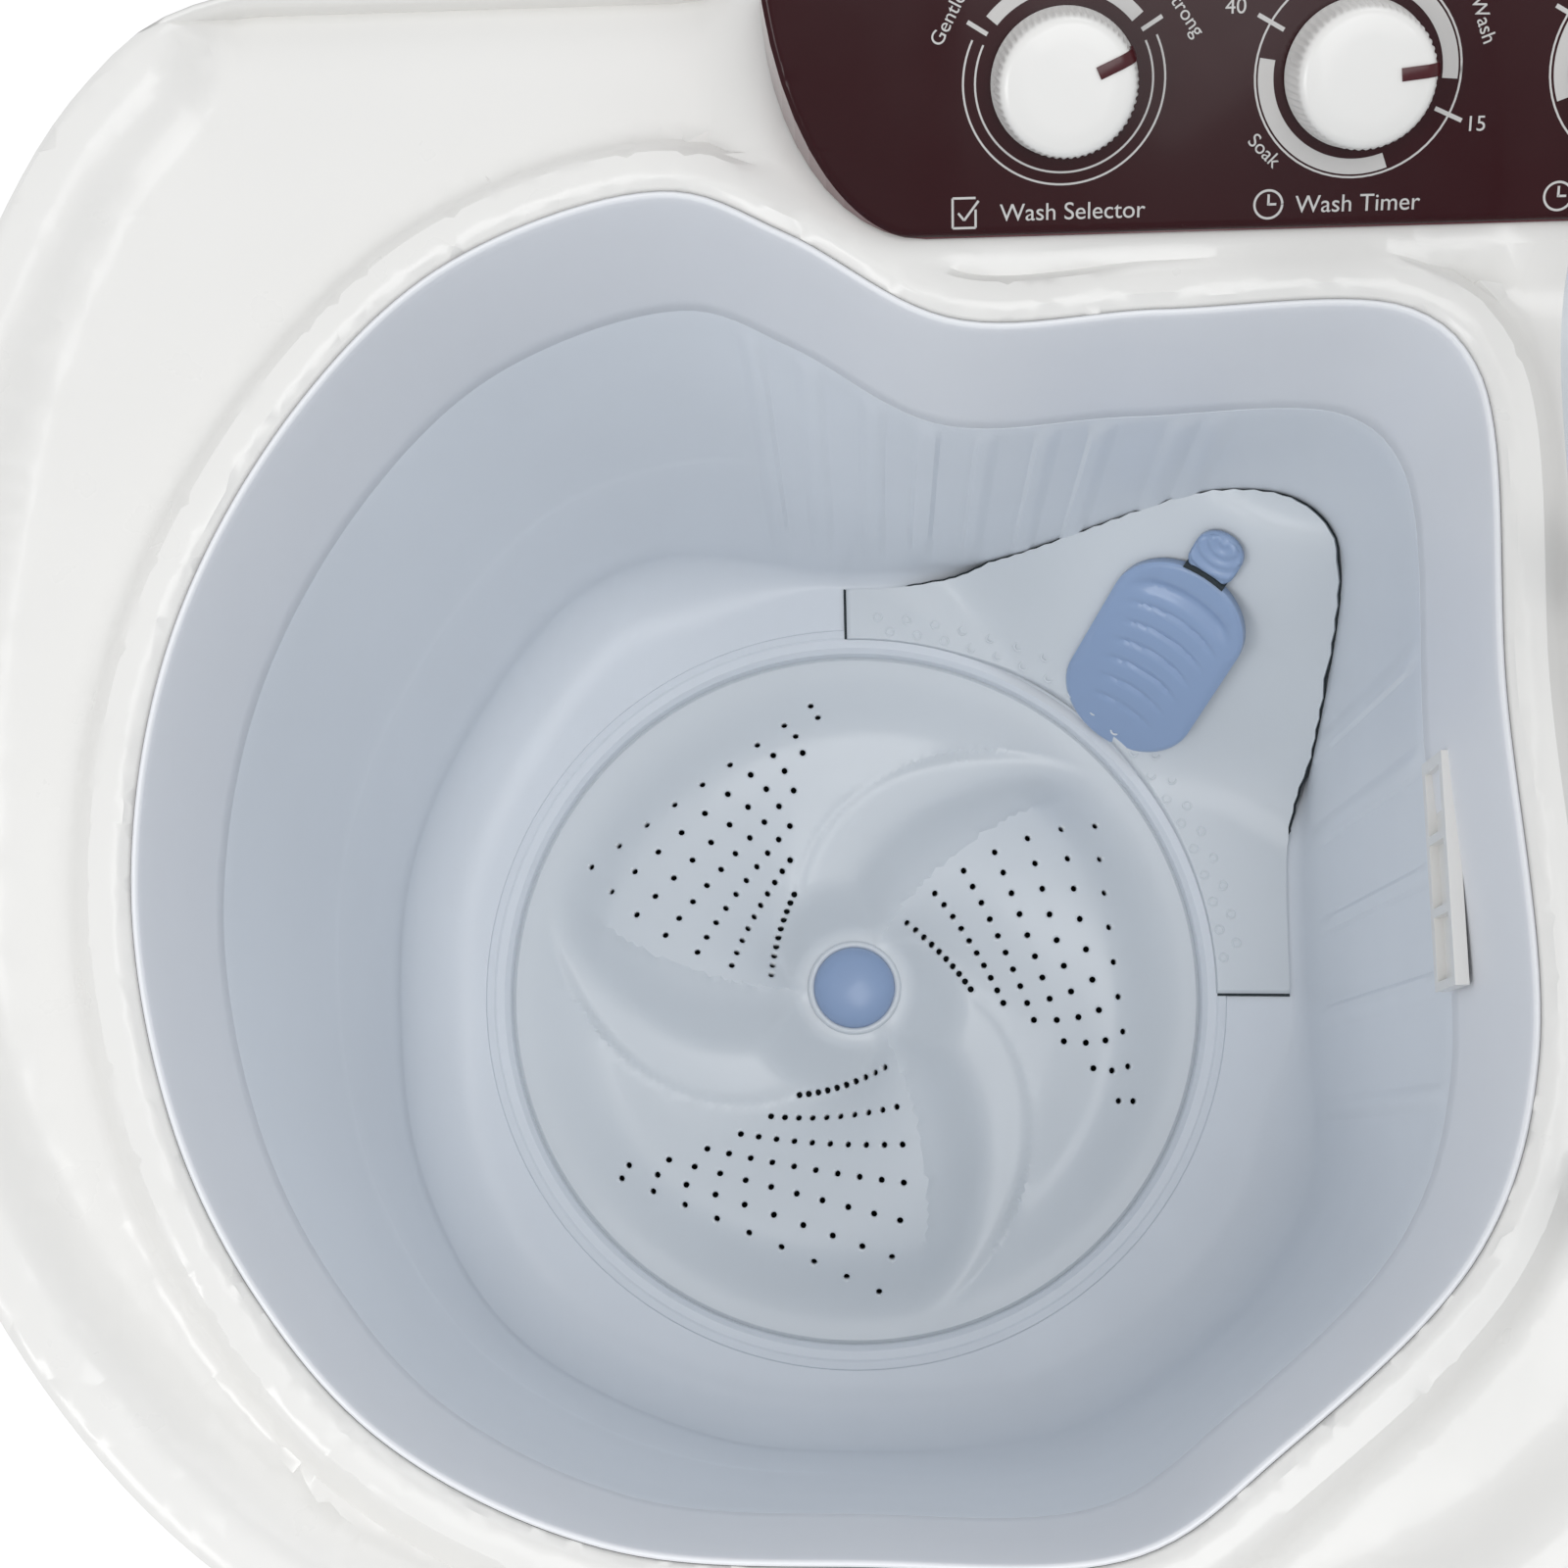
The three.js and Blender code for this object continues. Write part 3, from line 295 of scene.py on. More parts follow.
# ---- making pieces -----------------------------------------------------------------------
def piece(name, points, faces, look, body="cabinet", stands_for=(), slot="white_shell",
          thickness=0, sharp=35):
    """A mesh from points in millimetres, riding on a body."""
    mesh = bpy.data.meshes.new(name)
    mesh.from_pydata([Vector(p) * 0.001 for p in points], [], faces)
    mesh.materials.append(look)
    build = bmesh.new()
    build.from_mesh(mesh)
    bmesh.ops.remove_doubles(build, verts=build.verts, dist=1e-6)
    if not thickness:
        bmesh.ops.recalc_face_normals(build, faces=build.faces)
    for face in build.faces:
        face.smooth = True
    for edge in build.edges:
        if len(edge.link_faces) == 2 and edge.calc_face_angle() > math.radians(sharp):
            edge.smooth = False
    build.to_mesh(mesh)
    build.free()
    made = bpy.data.objects.new(name, mesh)
    bpy.context.scene.collection.objects.link(made)
    if thickness:
        shell = made.modifiers.new("thickness", "SOLIDIFY")
        shell.thickness = thickness * 0.001
        shell.offset = -1
    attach(made, body)
    if stands_for:
        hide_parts(*stands_for)
    return made


def band_faces(rings, count, looped, start=0):
    faces = []
    for i in range(rings if looped else rings - 1):
        low, high = start + i * count, start + ((i + 1) % rings) * count
        for j in range(count):
            k = (j + 1) % count
            faces.append((low + j, low + k, high + k, high + j))
    return faces


def stacked(outline, steps, place=lambda ring: ring):
    """Rings of the outline, grown and set at a height by (outward, height) steps."""
    return [[(x, y, z) for x, y in place(grown(outline, out))] for out, z in steps]


def lifted(outline, heights):
    """The outline as it is, once at each height."""
    return [[(x, y, z) for x, y in outline] for z in heights]


def rings_mesh(rings, looped=False, caps=False):
    count = len(rings[0])
    points = [p for ring in rings for p in ring]
    faces = band_faces(len(rings), count, looped)
    if caps:
        faces.append(tuple(range(count))[::-1])
        faces.append(tuple(range(len(points) - count, len(points))))
    return points, faces


def merge(*meshes):
    points, faces = [], []
    for some_points, some_faces in meshes:
        start = len(points)
        points += some_points
        faces += [tuple(i + start for i in face) for face in some_faces]
    return points, faces


def turned(profile, centre=(0, 0), count=96, looped=False):
    """Rings from (radius, height) pairs about a vertical axis."""
    rings = [[(x, y, z) for x, y in circle(max(r, 0.01), centre, count)] for r, z in profile]
    return rings_mesh(rings, looped, caps=not looped)


def sheet(outer, holes, height, fill):
    """Triangles over an outline with holes, at a height given by a function of x and y."""
    points, edges = [], []
    for loop in [outer, *holes]:
        start = len(points)
        points += [Vector(p) for p in loop]
        edges += [(start + i, start + (i + 1) % len(loop)) for i in range(len(loop))]
    points += [Vector(p) for p in fill]
    flat, _, faces, _, _, _ = delaunay_2d_cdt(points, edges, [], 0, 0.001)
    kept = []
    for face in faces:
        x = sum(flat[i].x for i in face) / len(face)
        y = sum(flat[i].y for i in face) / len(face)
        if inside(outer, x, y) and not any(inside(hole, x, y) for hole in holes):
            a, b, c = (flat[i] for i in face[:3])
            turn = (b - a).cross(c - a)
            kept.append(tuple(face) if turn > 0 else tuple(reversed(face)))
    used = sorted({i for face in kept for i in face})
    order = {old: new for new, old in enumerate(used)}
    return ([(flat[i].x, flat[i].y, height(flat[i].x, flat[i].y)) for i in used],
            [tuple(order[i] for i in face) for face in kept])


# ---- deck --------------------------------------------------------------------------------
lip_placed = at_wash(LIP)
# The deck's moulding overhangs the cabinet's back a little, and has no raised rim there.
BACK_OVERHANG = 6
RIM_ENDS = 252
DECK_LINE = [(x, y + BACK_OVERHANG * smooth(236, BACK, y)) for x, y in BODY]
RIM_LINE = [(x, y if y < RIM_ENDS else y + 300) for x, y in DECK_LINE]
spin_mouth = circle(SPIN_MOUTH_R, SPIN, 140)
RIM_BAND = 14.0
PANEL_GROUND = 0.97  # how far the flat ground under the panel comes up to the rim's height


def deck_height(x, y):
    to_lip = distance(lip_placed, x, y)
    to_spin = abs(math.hypot(x - SPIN[0], y - SPIN[1]) - SPIN_MOUTH_R)
    to_rim = distance(RIM_LINE, x, y)
    to_edge = distance(DECK_LINE, x, y)
    rise = 1 - smooth(11, 24, to_lip)
    rise = max(rise, 1 - smooth(5, 14, to_spin))
    rise = max(rise, 1 - smooth(RIM_BAND - 2, RIM_BAND + 22, to_rim))
    behind = smooth(158, 172, y) * smooth(-168, -140, x)
    rise = max(rise, behind * PANEL_GROUND)
    drop = 3.2 * (1 - smooth(0, 5, to_lip)) ** 2 + 2.2 * (1 - smooth(0, 4, to_edge)) ** 2
    return CHANNEL_Z + (LIP_Z - 0.6 - CHANNEL_Z) * rise - drop


CLOSEST = 2.2


def deck():
    fill = []
    for step in (1.2, 2.5, 4, 6, 9, 12, 15, 18, 21, 25, 30):
        fill += grown(lip_placed, step)
        fill += circle(SPIN_MOUTH_R + step * 0.7, SPIN, 120)
        fill += [p for p in grown(DECK_LINE, -step) if distance(DECK_LINE, *p) > step * 0.9]
    coarse = even(DECK_LINE, 160)
    for step in (36, 44, 52):
        fill += [p for p in grown(coarse, -step) if distance(DECK_LINE, *p) > step * 0.9]
    spacing = 9
    for i in range(int(2 * SIDE / spacing)):
        for j in range(int((BACK - FRONT) / spacing)):
            fill.append((-SIDE + i * spacing + 3.7, FRONT + j * spacing + 2.9))
    seen = {}
    for x, y in fill:
        key = (round(x / CLOSEST), round(y / CLOSEST))
        if key not in seen and inside(DECK_LINE, x, y) and not inside(lip_placed, x, y):
            if math.hypot(x - SPIN[0], y - SPIN[1]) > SPIN_MOUTH_R + 0.8:
                seen[key] = (x, y)
    top = sheet(DECK_LINE, [lip_placed, spin_mouth], deck_height, list(seen.values()))
    edge = deck_height(*DECK_LINE[0])
    steps = [(-1.5, DECK_SEAM + 0.3), (-0.2, DECK_SEAM + 1.5), (0, LIP_Z - 10), (0, edge)]
    return merge(top, rings_mesh(stacked(DECK_LINE, steps)))


piece("deck", *deck(), WHITE, stands_for=["top_deck"], thickness=2.2)

# The collar under the lip, down to the tub's rim.
COLLAR_STEPS = [(-0.2, LIP_Z - 3.4), (-0.7, LIP_Z - 5), (-1.0, LIP_Z - 8), (-1.4, LIP_Z - 30),
                (-1.5, TUB_TOP + 12), (-1.6, TUB_TOP + 1.4), (-1.0, TUB_TOP + 0.4),
                (1.5, TUB_TOP + 0.4)]
piece("wash_collar", *rings_mesh(stacked(LIP, COLLAR_STEPS, at_wash)[::-1]), COLLAR, thickness=1.5)
spin_collar = [(SPIN_MOUTH_R, LIP_Z - 3.4), (SPIN_MOUTH_R - 0.8, LIP_Z - 6),
               (SPIN_MOUTH_R - 1, 779)]
spin_rings = [[(x, y, z) for x, y in circle(r, SPIN, 140)] for r, z in spin_collar]
piece("spin_collar", *rings_mesh(spin_rings[::-1]), COLLAR, thickness=2.5)

# ---- wash tub ----------------------------------------------------------------------------
TUB_COUNT = 720
BACK_RIBS = (-30, -10, 12, 31, 51, 72, 92, 120, 132)
SIDE_RIBS = (93, 57, 19, -18, -56)
RIB_DEPTH = 1.3
WALL_STEP = 0.55
tub_rim = polar(grown(LIP, -1.5), TUB_COUNT)
tub_low = polar(grown(FLOOR, 3), TUB_COUNT)
COVER_FROM, COVER_TO = -1.5, 90.0


def openness(i):
    """0 beside the filter cover, where the tub's foot is tight, and 1 where it is wide."""
    angle = (i / TUB_COUNT * 360 + 180) % 360 - 180
    return max(smooth(COVER_TO + 2, COVER_TO + 24, angle), smooth(-COVER_FROM + 2, 24, -angle))


WIDE = [openness(i) for i in range(TUB_COUNT)]
tub_edge = [(ax + (bx - ax) * w, ay + (by - ay) * w) for (ax, ay), (bx, by), w in
            zip(polar(grown(FLOOR, -5), TUB_COUNT), polar(grown(FLOOR, -24), TUB_COUNT), WIDE)]
FILLET_LOW, FILLET_HIGH = 14.0, 32.0


def rib(x, y):
    """How far a wall point stands in, for the shallow upright ribs."""
    if y > 150 and x < 145:
        along, ribs = x, BACK_RIBS
    elif x > 170 and y < 120:
        along, ribs = y, SIDE_RIBS
    else:
        return 0
    return max((1 - smooth(2.6, 3.5, abs(along - place))) for place in ribs) * RIB_DEPTH


def tub_ring(t, z, inward=0.0):
    ring = []
    fade = smooth(0.06, 0.2, t) * (1 - smooth(0.95, 0.985, t))
    for (ax, ay), (bx, by) in zip(tub_low, tub_rim):
        x, y = ax + (bx - ax) * t, ay + (by - ay) * t
        reach = math.hypot(x, y)
        left = smooth(60, -60, x) * (1 - smooth(0.45, 0.48, t)) * WALL_STEP
        shrink = 1 - (rib(bx, by) * fade + inward + left) / reach
        ring.append((WASH[0] + x * shrink, WASH[1] + y * shrink, z))
    return ring


def tub():
    rings = [tub_ring(1, TUB_TOP, -2.6)]
    heights = sorted({0, 0.02, 0.045, 0.07, 0.94, 0.965, 0.985, 1, 0.455, 0.465, 0.475, 0.485,
                      *[0.1 + k * 0.06 for k in range(14)]})
    for t in reversed(heights):
        z = TUB_FLOOR + FILLET_LOW + (TUB_TOP - TUB_FLOOR - FILLET_LOW - 0.6) * t
        if z > TUB_FLOOR + FILLET_HIGH + 1:
            rings.append(tub_ring(t, z))
    feet = []
    for (ax, ay), (bx, by), w in zip(tub_low, tub_rim, WIDE):
        high = FILLET_LOW + (FILLET_HIGH - FILLET_LOW) * w
        t = (high - FILLET_LOW) / (TUB_TOP - TUB_FLOOR - FILLET_LOW)
        feet.append((ax + (bx - ax) * t, ay + (by - ay) * t, high))
    for k in range(11):
        angle = k / 10 * math.pi / 2
        ring = []
        for (ax, ay, high), (bx, by) in zip(feet, tub_edge):
            mix = 1 - math.cos(angle)
            ring.append((WASH[0] + ax + (bx - ax) * mix, WASH[1] + ay + (by - ay) * mix,
                         TUB_FLOOR + high * (1 - math.sin(angle))))
        rings.append(ring)
    sunk = RECESS_Z - TUB_FLOOR
    groove = [(RECESS_R + 5.2, 0), (RECESS_R + 4.6, 0.7), (RECESS_R + 3.2, 0.7),
              (RECESS_R + 2.4, 0), (RECESS_R - 1, -0.1), (RECESS_R - 2, -1.2),
              (RECESS_R - 2.2, -3), (RECESS_R - 2.2, -20), (RECESS_R - 2, sunk), (60, sunk),
              (SHAFT_HOLE_R, sunk), (SHAFT_HOLE_R, sunk - 11)]
    for r, rise in groove:
        rings.append([(x, y, TUB_FLOOR + rise) for x, y in circle(r, WASH, TUB_COUNT)])
    return rings_mesh(rings[::-1])


piece("tub", *tub(), TUB, stands_for=["wash_tub"], slot="tub_grey", thickness=2.0)
shadow_gap = [(DISC_R + 0.5, DISC_Z - 2), (DISC_R + 1.7, DISC_Z + 4), (DISC_R + 1.7, DISC_Z - 20),
              (DISC_R + 0.5, DISC_Z - 20)]
piece("recess_shadow", *turned(shadow_gap, WASH, 240, looped=True), HOLE, slot="rubber")

# ---- pulsator ----------------------------------------------------------------------------
EDGE_AT, EDGE_PER_MM = math.radians(283.3), math.radians(0.865)
CREST_AT, CREST_PER_MM = math.radians(308.6), math.radians(0.22)
THIRD = 2 * math.pi / 3
HUB_R, HUB_H = 17.6, 24.0
CREST_H = 29.0
SCOOP_DEPTH = 8.0


def disc_height(x, y):
    """Three raised sails, each falling from a crest to a swept edge, then a scoop."""
    r = math.hypot(x, y)
    angle = math.atan2(y, x)
    edge = EDGE_AT - EDGE_PER_MM * r
    crest = CREST_AT - CREST_PER_MM * r
    past_edge = (angle - edge) % THIRD
    sail = (crest - edge) % THIRD
    top = CREST_H * (1 - clamp(r / 142) ** 2.6)
    low = -1 + 5 * smooth(85, 115, r)
    scoop = -SCOOP_DEPTH * (1 - smooth(90, 134, r))
    if past_edge < sail:
        up = past_edge / sail
        height = low + (top - low) * (up * 0.55 + 0.45 * smooth(0, 1, up))
    else:
        down = (past_edge - sail) / (THIRD - sail)
        height = top + (scoop - top) * smooth(-0.12, 0.74, down)
        if r > 26:
            height += (low + 0.6 - scoop) * (1 - smooth(2, 11, (THIRD - past_edge) * r))
    hub = HUB_H * (1 - smooth(HUB_R, 50, r))
    height = (height + hub + math.sqrt((height - hub) ** 2 + 16)) / 2 - 1.2
    height = HUB_H - 1 + (height - HUB_H + 1) * smooth(HUB_R, 30, r)
    height *= 1 - smooth(106, 139, r)
    return height - 1.2 * smooth(DISC_R - 1.6, DISC_R, r) ** 2


HOLE_ROWS = [((11.5, -32.8), (-24.1, -42.5), -1.9, 10), ((16.1, -49.0), (-36.1, -51.1), -1.9, 10),
             ((18.2, -64.3), (-48.8, -58.2), -1.5, 10), ((18.4, -79.7), (-62.8, -64.1), -1.0, 10),
             ((16.6, -94.9), (-78.6, -68.4), -0.1, 10), ((13.0, -109.7), (-95.6, -70.5), 0.6, 10),
             ((7.5, -123.8), (-98.8, -75.8), 0.9, 9)]
HOLE_R = 1.35
CELL = 8  # squares that the holes are sorted into


def drain_holes():
    centres = []
    for turn in range(3):
        c, s = math.cos(turn * THIRD), math.sin(turn * THIRD)
        for (ax, ay), (bx, by), bow, count in HOLE_ROWS:
            for i in range(count):
                t = i / (count - 1)
                x = ax + (bx - ax) * t
                y = ay + (by - ay) * t + 4 * bow * t * (1 - t)
                centres.append((x * c - y * s, x * s + y * c))
    return centres


def pulsator():
    centres = drain_holes()
    holes = [circle(HOLE_R, p, 10) for p in centres]
    fill = []
    # Rings of points that start on the swept edge, so that it stays crisp.
    r = HUB_R + 1.2
    while r < DISC_R - 1:
        start = EDGE_AT - EDGE_PER_MM * r
        count = 3 * max(24, int(r * 0.85))
        around = [start + 2 * math.pi * i / count for i in range(count)]
        fill += [(r * math.cos(angle), r * math.sin(angle)) for angle in around]
        for near in (1.2, 2.4, 4.5, 6.5, 8.5, 10.5):
            for turn in range(3):
                angle = start + turn * THIRD - near / r
                fill.append((r * math.cos(angle), r * math.sin(angle)))
        r += 2.3 if r < 120 else 1.5
    fill += [p for c in centres for p in circle(HOLE_R + 1.0, c, 10)]
    near_hole = {}
    for c in centres:
        near_hole.setdefault((int(c[0] // CELL), int(c[1] // CELL)), []).append(c)

    def clear(p):
        i, j = int(p[0] // CELL), int(p[1] // CELL)
        around = [c for a in (-1, 0, 1) for b in (-1, 0, 1)
                  for c in near_hole.get((i + a, j + b), ())]
        return all((p[0] - c[0]) ** 2 + (p[1] - c[1]) ** 2 > (HOLE_R + 0.6) ** 2 for c in around)
    fill = [p for p in fill if clear(p)]
    hub = circle(HUB_R, count=72)
    points, faces = sheet(circle(DISC_R, count=240), [hub, *holes], disc_height, fill)
    top = [(x + WASH[0], y + WASH[1], z + DISC_Z) for x, y, z in points], faces
    side = [(DISC_R - 3, -14), (DISC_R - 0.6, -12), (DISC_R, -4), (DISC_R, disc_height(DISC_R, 0))]
    rings = [[(x, y, DISC_Z + z) for x, y in circle(r, WASH, 240)] for r, z in side]
    return merge(top, rings_mesh(rings))


piece("pulsator_disc", *pulsator(), COVER, "pulsator_drive", ["pulsator"], "cover_grey",
      thickness=2.4)
# Painted shade: a dark sheet under the disc, standing in for the shaded hollow seen through the
# drain holes.
well_profile = [(17.5, DISC_Z + 8), (60, DISC_Z - 12), (140, DISC_Z - 14), (140, DISC_Z - 15),
                (60, DISC_Z - 14), (17.5, DISC_Z + 4)]
piece("pulsator_well_shade", *turned(well_profile, WASH, looped=True), HOLE, "pulsator_drive",
      slot="cover_grey")
CAP_R, CAP_FOOT, CAP_SHOULDER, CAP_DOME = 16.6, 17, 24, 8.7
cap_profile = [(0, CAP_FOOT), (CAP_R + 0.3, CAP_FOOT), (CAP_R + 0.7, 22)]
cap_profile += [(CAP_R * math.cos(a), CAP_SHOULDER + CAP_DOME * math.sin(a)) for a in
                [k / 12 * math.pi / 2 for k in range(13)]]
piece("cap", *turned([(r, DISC_Z + z) for r, z in cap_profile], WASH), BLUE, "pulsator_drive",
      ["pulsator_cap"], "blue_plastic")
ring_profile = [(16.2 + 1.6 + 1.5 * math.cos(a), DISC_Z + 23.4 + 2.2 * math.sin(a))
                for a in [k / 16 * 2 * math.pi for k in range(16)]]
piece("cap_ring", *turned(ring_profile, WASH, looped=True), COVER, "pulsator_drive",
      slot="cover_grey")

# ---- filter cover in the corner ----------------------------------------------------------
AIM = math.radians(55)
RISE = 1.49
CEILING = 116.0
FLAP_AT = (130.0, 137.0)
FLAP_LIFT = RISE * (130 * math.cos(AIM) + 137 * math.sin(AIM) - 150)


def cover_height(x, y):
    u = x * math.cos(AIM) + y * math.sin(AIM) - 150
    v = -x * math.sin(AIM) + y * math.cos(AIM)
    rise = RISE * u - 30 * smooth(14, 80, abs(v + 15))
    soft = 22.0
    rise = (rise + math.sqrt(rise * rise + soft * soft)) / 2
    high = CEILING - rise
    return clamp(CEILING - (high + math.sqrt(high * high + 36)) / 2 - 1.5, 2.0, CEILING)


def wall_reach(angle, z):
    step = angle / (2 * math.pi) * TUB_COUNT
    i = int(step) % TUB_COUNT
    t = clamp((z - TUB_FLOOR - 14) / (TUB_TOP - TUB_FLOOR - 14))
    low, high = math.hypot(*tub_low[i]), math.hypot(*tub_rim[i])
    return low + (high - low) * t


def cover():
    angles = [math.radians(a * 0.75 - 1.5) for a in range(123)]
    steps = [0, 0.02, 0.05] + [0.09 + 0.9 * k / 26 for k in range(27)] + [1]
    grid = []
    for angle in angles:
        c, s = math.cos(angle), math.sin(angle)
        reach = wall_reach(angle % (2 * math.pi), TUB_FLOOR) - 8
        for _ in range(6):
            z = TUB_FLOOR + cover_height(reach * c, reach * s)
            shy = 5.5 * clamp(1 - (z - TUB_FLOOR) / 22)
            reach = wall_reach(angle % (2 * math.pi), z) - 3.2 - shy
        line = []
        for k, t in enumerate(steps):
            r = 150.6 + (reach - 150.6) * t
            x, y = r * c, r * s
            drop = 1.8 if k in (0, len(steps) - 1) else 0
            line.append((WASH[0] + x, WASH[1] + y, TUB_FLOOR + 1.6 + cover_height(x, y) - drop))
        grid.append(line)
    return grid


def cover_skin(grid):
    wide = len(grid[0])
    points = [p for line in grid for p in line]
    faces = [(i * wide + j, i * wide + j + 1, (i + 1) * wide + j + 1, (i + 1) * wide + j)
             for i in range(len(grid) - 1) for j in range(wide - 1)]
    return points, faces


cover_grid = cover()
piece("filter_housing", *cover_skin(cover_grid), COVER, stands_for=["filter_cover"],
      slot="cover_grey", thickness=1.2)


def seam(grid):
    """A thin shadow gap that follows the cover's three outer edges."""
    edge = grid[0] + [line[-1] for line in grid[1:-1]] + grid[-1][::-1]
    rings = []
    for out, lift in ((-0.4, -1.5), (1.1, -1.5), (1.1, -0.9), (-0.4, -0.9)):
        ring = []
        for i, (x, y, z) in enumerate(edge):
            a, b = edge[max(i - 1, 0)], edge[min(i + 1, len(edge) - 1)]
            length = max(math.hypot(b[0] - a[0], b[1] - a[1]), 1e-6)
            ring.append((x + (b[1] - a[1]) / length * out, y - (b[0] - a[0]) / length * out,
                         z + lift))
        rings.append(ring)
    count = len(edge)
    points = [p for ring in rings for p in ring]
    faces = []
    for i in range(4):
        low, high = i * count, (i + 1) % 4 * count
        faces += [(low + j, low + j + 1, high + j + 1, high + j) for j in range(count - 1)]
    faces += [tuple(i * count for i in range(4))[::-1],
              tuple(i * count + count - 1 for i in range(4))]
    return points, faces


piece("filter_seam", *seam(cover_grid), HOLE, slot="rubber")


def pips():
    """Two rows of small raised rings along the cover's inner arc."""
    made = []
    for radius, first in ((154.5, 4), (160.5, 6)):
        for i in range(19):
            angle = math.radians(first + i * 4.4)
            x, y = radius * math.cos(angle), radius * math.sin(angle)
            z = TUB_FLOOR + 1.6 + cover_height(x, y)
            profile = [(1.7 + 0.45 * math.cos(a), z + 0.4 * math.sin(a)) for a in
                       [k / 6 * 2 * math.pi for k in range(6)]]
            made.append(turned(profile, (WASH[0] + x, WASH[1] + y), 16, looped=True))
    return merge(*made)


piece("filter_pips", *pips(), COVER, slot="cover_grey")

tilt = Matrix.Translation((WASH[0] + FLAP_AT[0], WASH[1] + FLAP_AT[1],
                           TUB_FLOOR + FLAP_LIFT)) \
    @ Matrix.Rotation(AIM - math.pi / 2, 4, "Z") @ Matrix.Rotation(math.atan(RISE), 4, "X")


def on_cover(mesh):
    points, faces = mesh
    return [tuple(tilt @ Vector(p)) for p in points], faces


def oblong(width, length, count=48):
    r, half = width / 2, length / 2 - width / 2
    out = []
    for i in range(count):
        angle = 2 * math.pi * i / count
        x, y = r * math.cos(angle), r * math.sin(angle)
        out.append((x, y + (half if y > 0 else -half)))
    return out


def flap_height(x, y):
    """Crescent grooves across the flap, the one nearest the tab deepest."""
    z = 6.4
    for i, depth in enumerate((2.6, 1.3, 1.3, 1.3, 1.2, 1.0, 0.9)):
        centre = 26 - i * 11
        bow = y - centre + 0.013 * x * x
        reach = 1 - smooth(0.55, 1.0, abs(x) / (25 - i * 1.4))
        z -= depth * bell(bow, 3.4 if i == 0 else 1.2) * reach
    return z


def flap():
    outline = [(x, y - 11) for x, y in oblong(57, 104, 96)]
    fill = [(x * 1.3 - 29, y * 1.3 - 64) for x in range(45) for y in range(82)]
    border = []
    for k in (0.8, 1.6):
        border += [(x, y - 11) for x, y in oblong(57 - 2 * k, 104 - 2 * k, 96)]
    fill = [p for p in fill if inside([(x, y - 11) for x, y in oblong(53, 100)], *p)] + border

    def height(x, y):
        edge = distance(outline, x, y)
        return flap_height(x, y) - 1.2 * (1 - smooth(0, 1.8, edge)) ** 2
    top = sheet(outline, [], height, fill)
    return merge(top, rings_mesh(lifted(outline, (2.1, 5.2))))


piece("flap", *on_cover(flap()), BLUE, "filter_flap", ["filter_flap"], "blue_plastic",
      thickness=1.0)


def latch():
    outline = [(x * 1.05, y + 50.5) for x, y in oblong(19, 24, 64)]

    def height(x, y):
        ripple = math.cos(math.hypot(x, y - 60) * 1.25) * 0.45
        return 6.2 + ripple - 1.2 * (1 - smooth(0, 1.8, distance(outline, x, y))) ** 2
    fill = [(x * 0.8 - 13, y * 0.8 + 42) for x in range(33) for y in range(27)]
    shrunk = [(x * 0.96, 52.5 + (y - 52.5) * 0.96) for x, y in outline]
    fill = [p for p in fill if inside(shrunk, *p)]
    return merge(sheet(outline, [], height, fill), rings_mesh(lifted(outline, (2.1, 5.0))))


# Painted shade: a dark block rising through the joint of flap and tab, standing in for the shaded
# slot between them.
slot_line = [(x, 41.2 - 0.012 * x * x) for x in range(-9, 10, 3)]
slot_ring = slot_line + [(x, y + 2.2) for x, y in slot_line[::-1]]
piece("flap_slot_shade", *on_cover(rings_mesh(lifted(slot_ring, (2.2, 6.75)), caps=True)), HOLE,
      "filter_flap", slot="blue_plastic")
piece("tab", *on_cover(latch()), BLUE, "filter_latch", ["filter_latch"], "blue_plastic",
      thickness=1.0)

# ---- control panel -----------------------------------------------------------------------
slope = Matrix.Translation((0, PANEL_FRONT, LIP_Z + 0.3)) @ Matrix.Rotation(PANEL_SLOPE, 4, "X")


def on_slope(mesh):
    points, faces = mesh
    return [tuple(slope @ Vector(p)) for p in points], faces


def panel_outline(inset=0.8):
    plan = []
    for i in range(33):
        angle = math.pi + i / 32 * math.pi / 2
        plan.append((PANEL_LEFT + 50 + 50 * math.cos(angle),
                     (BACK - 2 - PANEL_FRONT) * (1 + math.sin(angle)) / math.cos(PANEL_SLOPE)))
    plan = [(x, min(y, PANEL_LENGTH)) for x, y in plan]
    plan += [(PANEL_RIGHT, 0), (PANEL_RIGHT, PANEL_LENGTH)]
    return even([(clamp(x, PANEL_LEFT + inset, PANEL_RIGHT - inset),
                  clamp(y, inset, PANEL_LENGTH - inset)) for x, y in plan], 420)


def fascia():
    outline = panel_outline()
    holes = [circle(5, (x, KNOB_ALONG), 32) for x in KNOB_X]

    def height(x, y):
        edge = distance(outline, x, y)
        fold = 0.5 * smooth(-94, -78, x) + 0.35 * bell(x + 86, 6)
        return 2.2 + fold * 0.5 - 1.1 * (1 - smooth(0, 2.2, edge)) ** 2
    fill = []
    for step in (0.6, 1.2, 2.0, 3.0):
        fill += grown(outline, -step)
    fill += [(PANEL_LEFT + 3 + i * 5, 3 + j * 5) for i in range(102) for j in range(19)]
    fill = [p for p in fill if inside(outline, *p)]
    top = sheet(outline, holes, height, fill)
    return merge(top, rings_mesh(lifted(outline, (0.4, 1.1))))


piece("fascia", *on_slope(fascia()), FASCIA, stands_for=["panel_fascia"], slot="fascia",
      thickness=0.3)


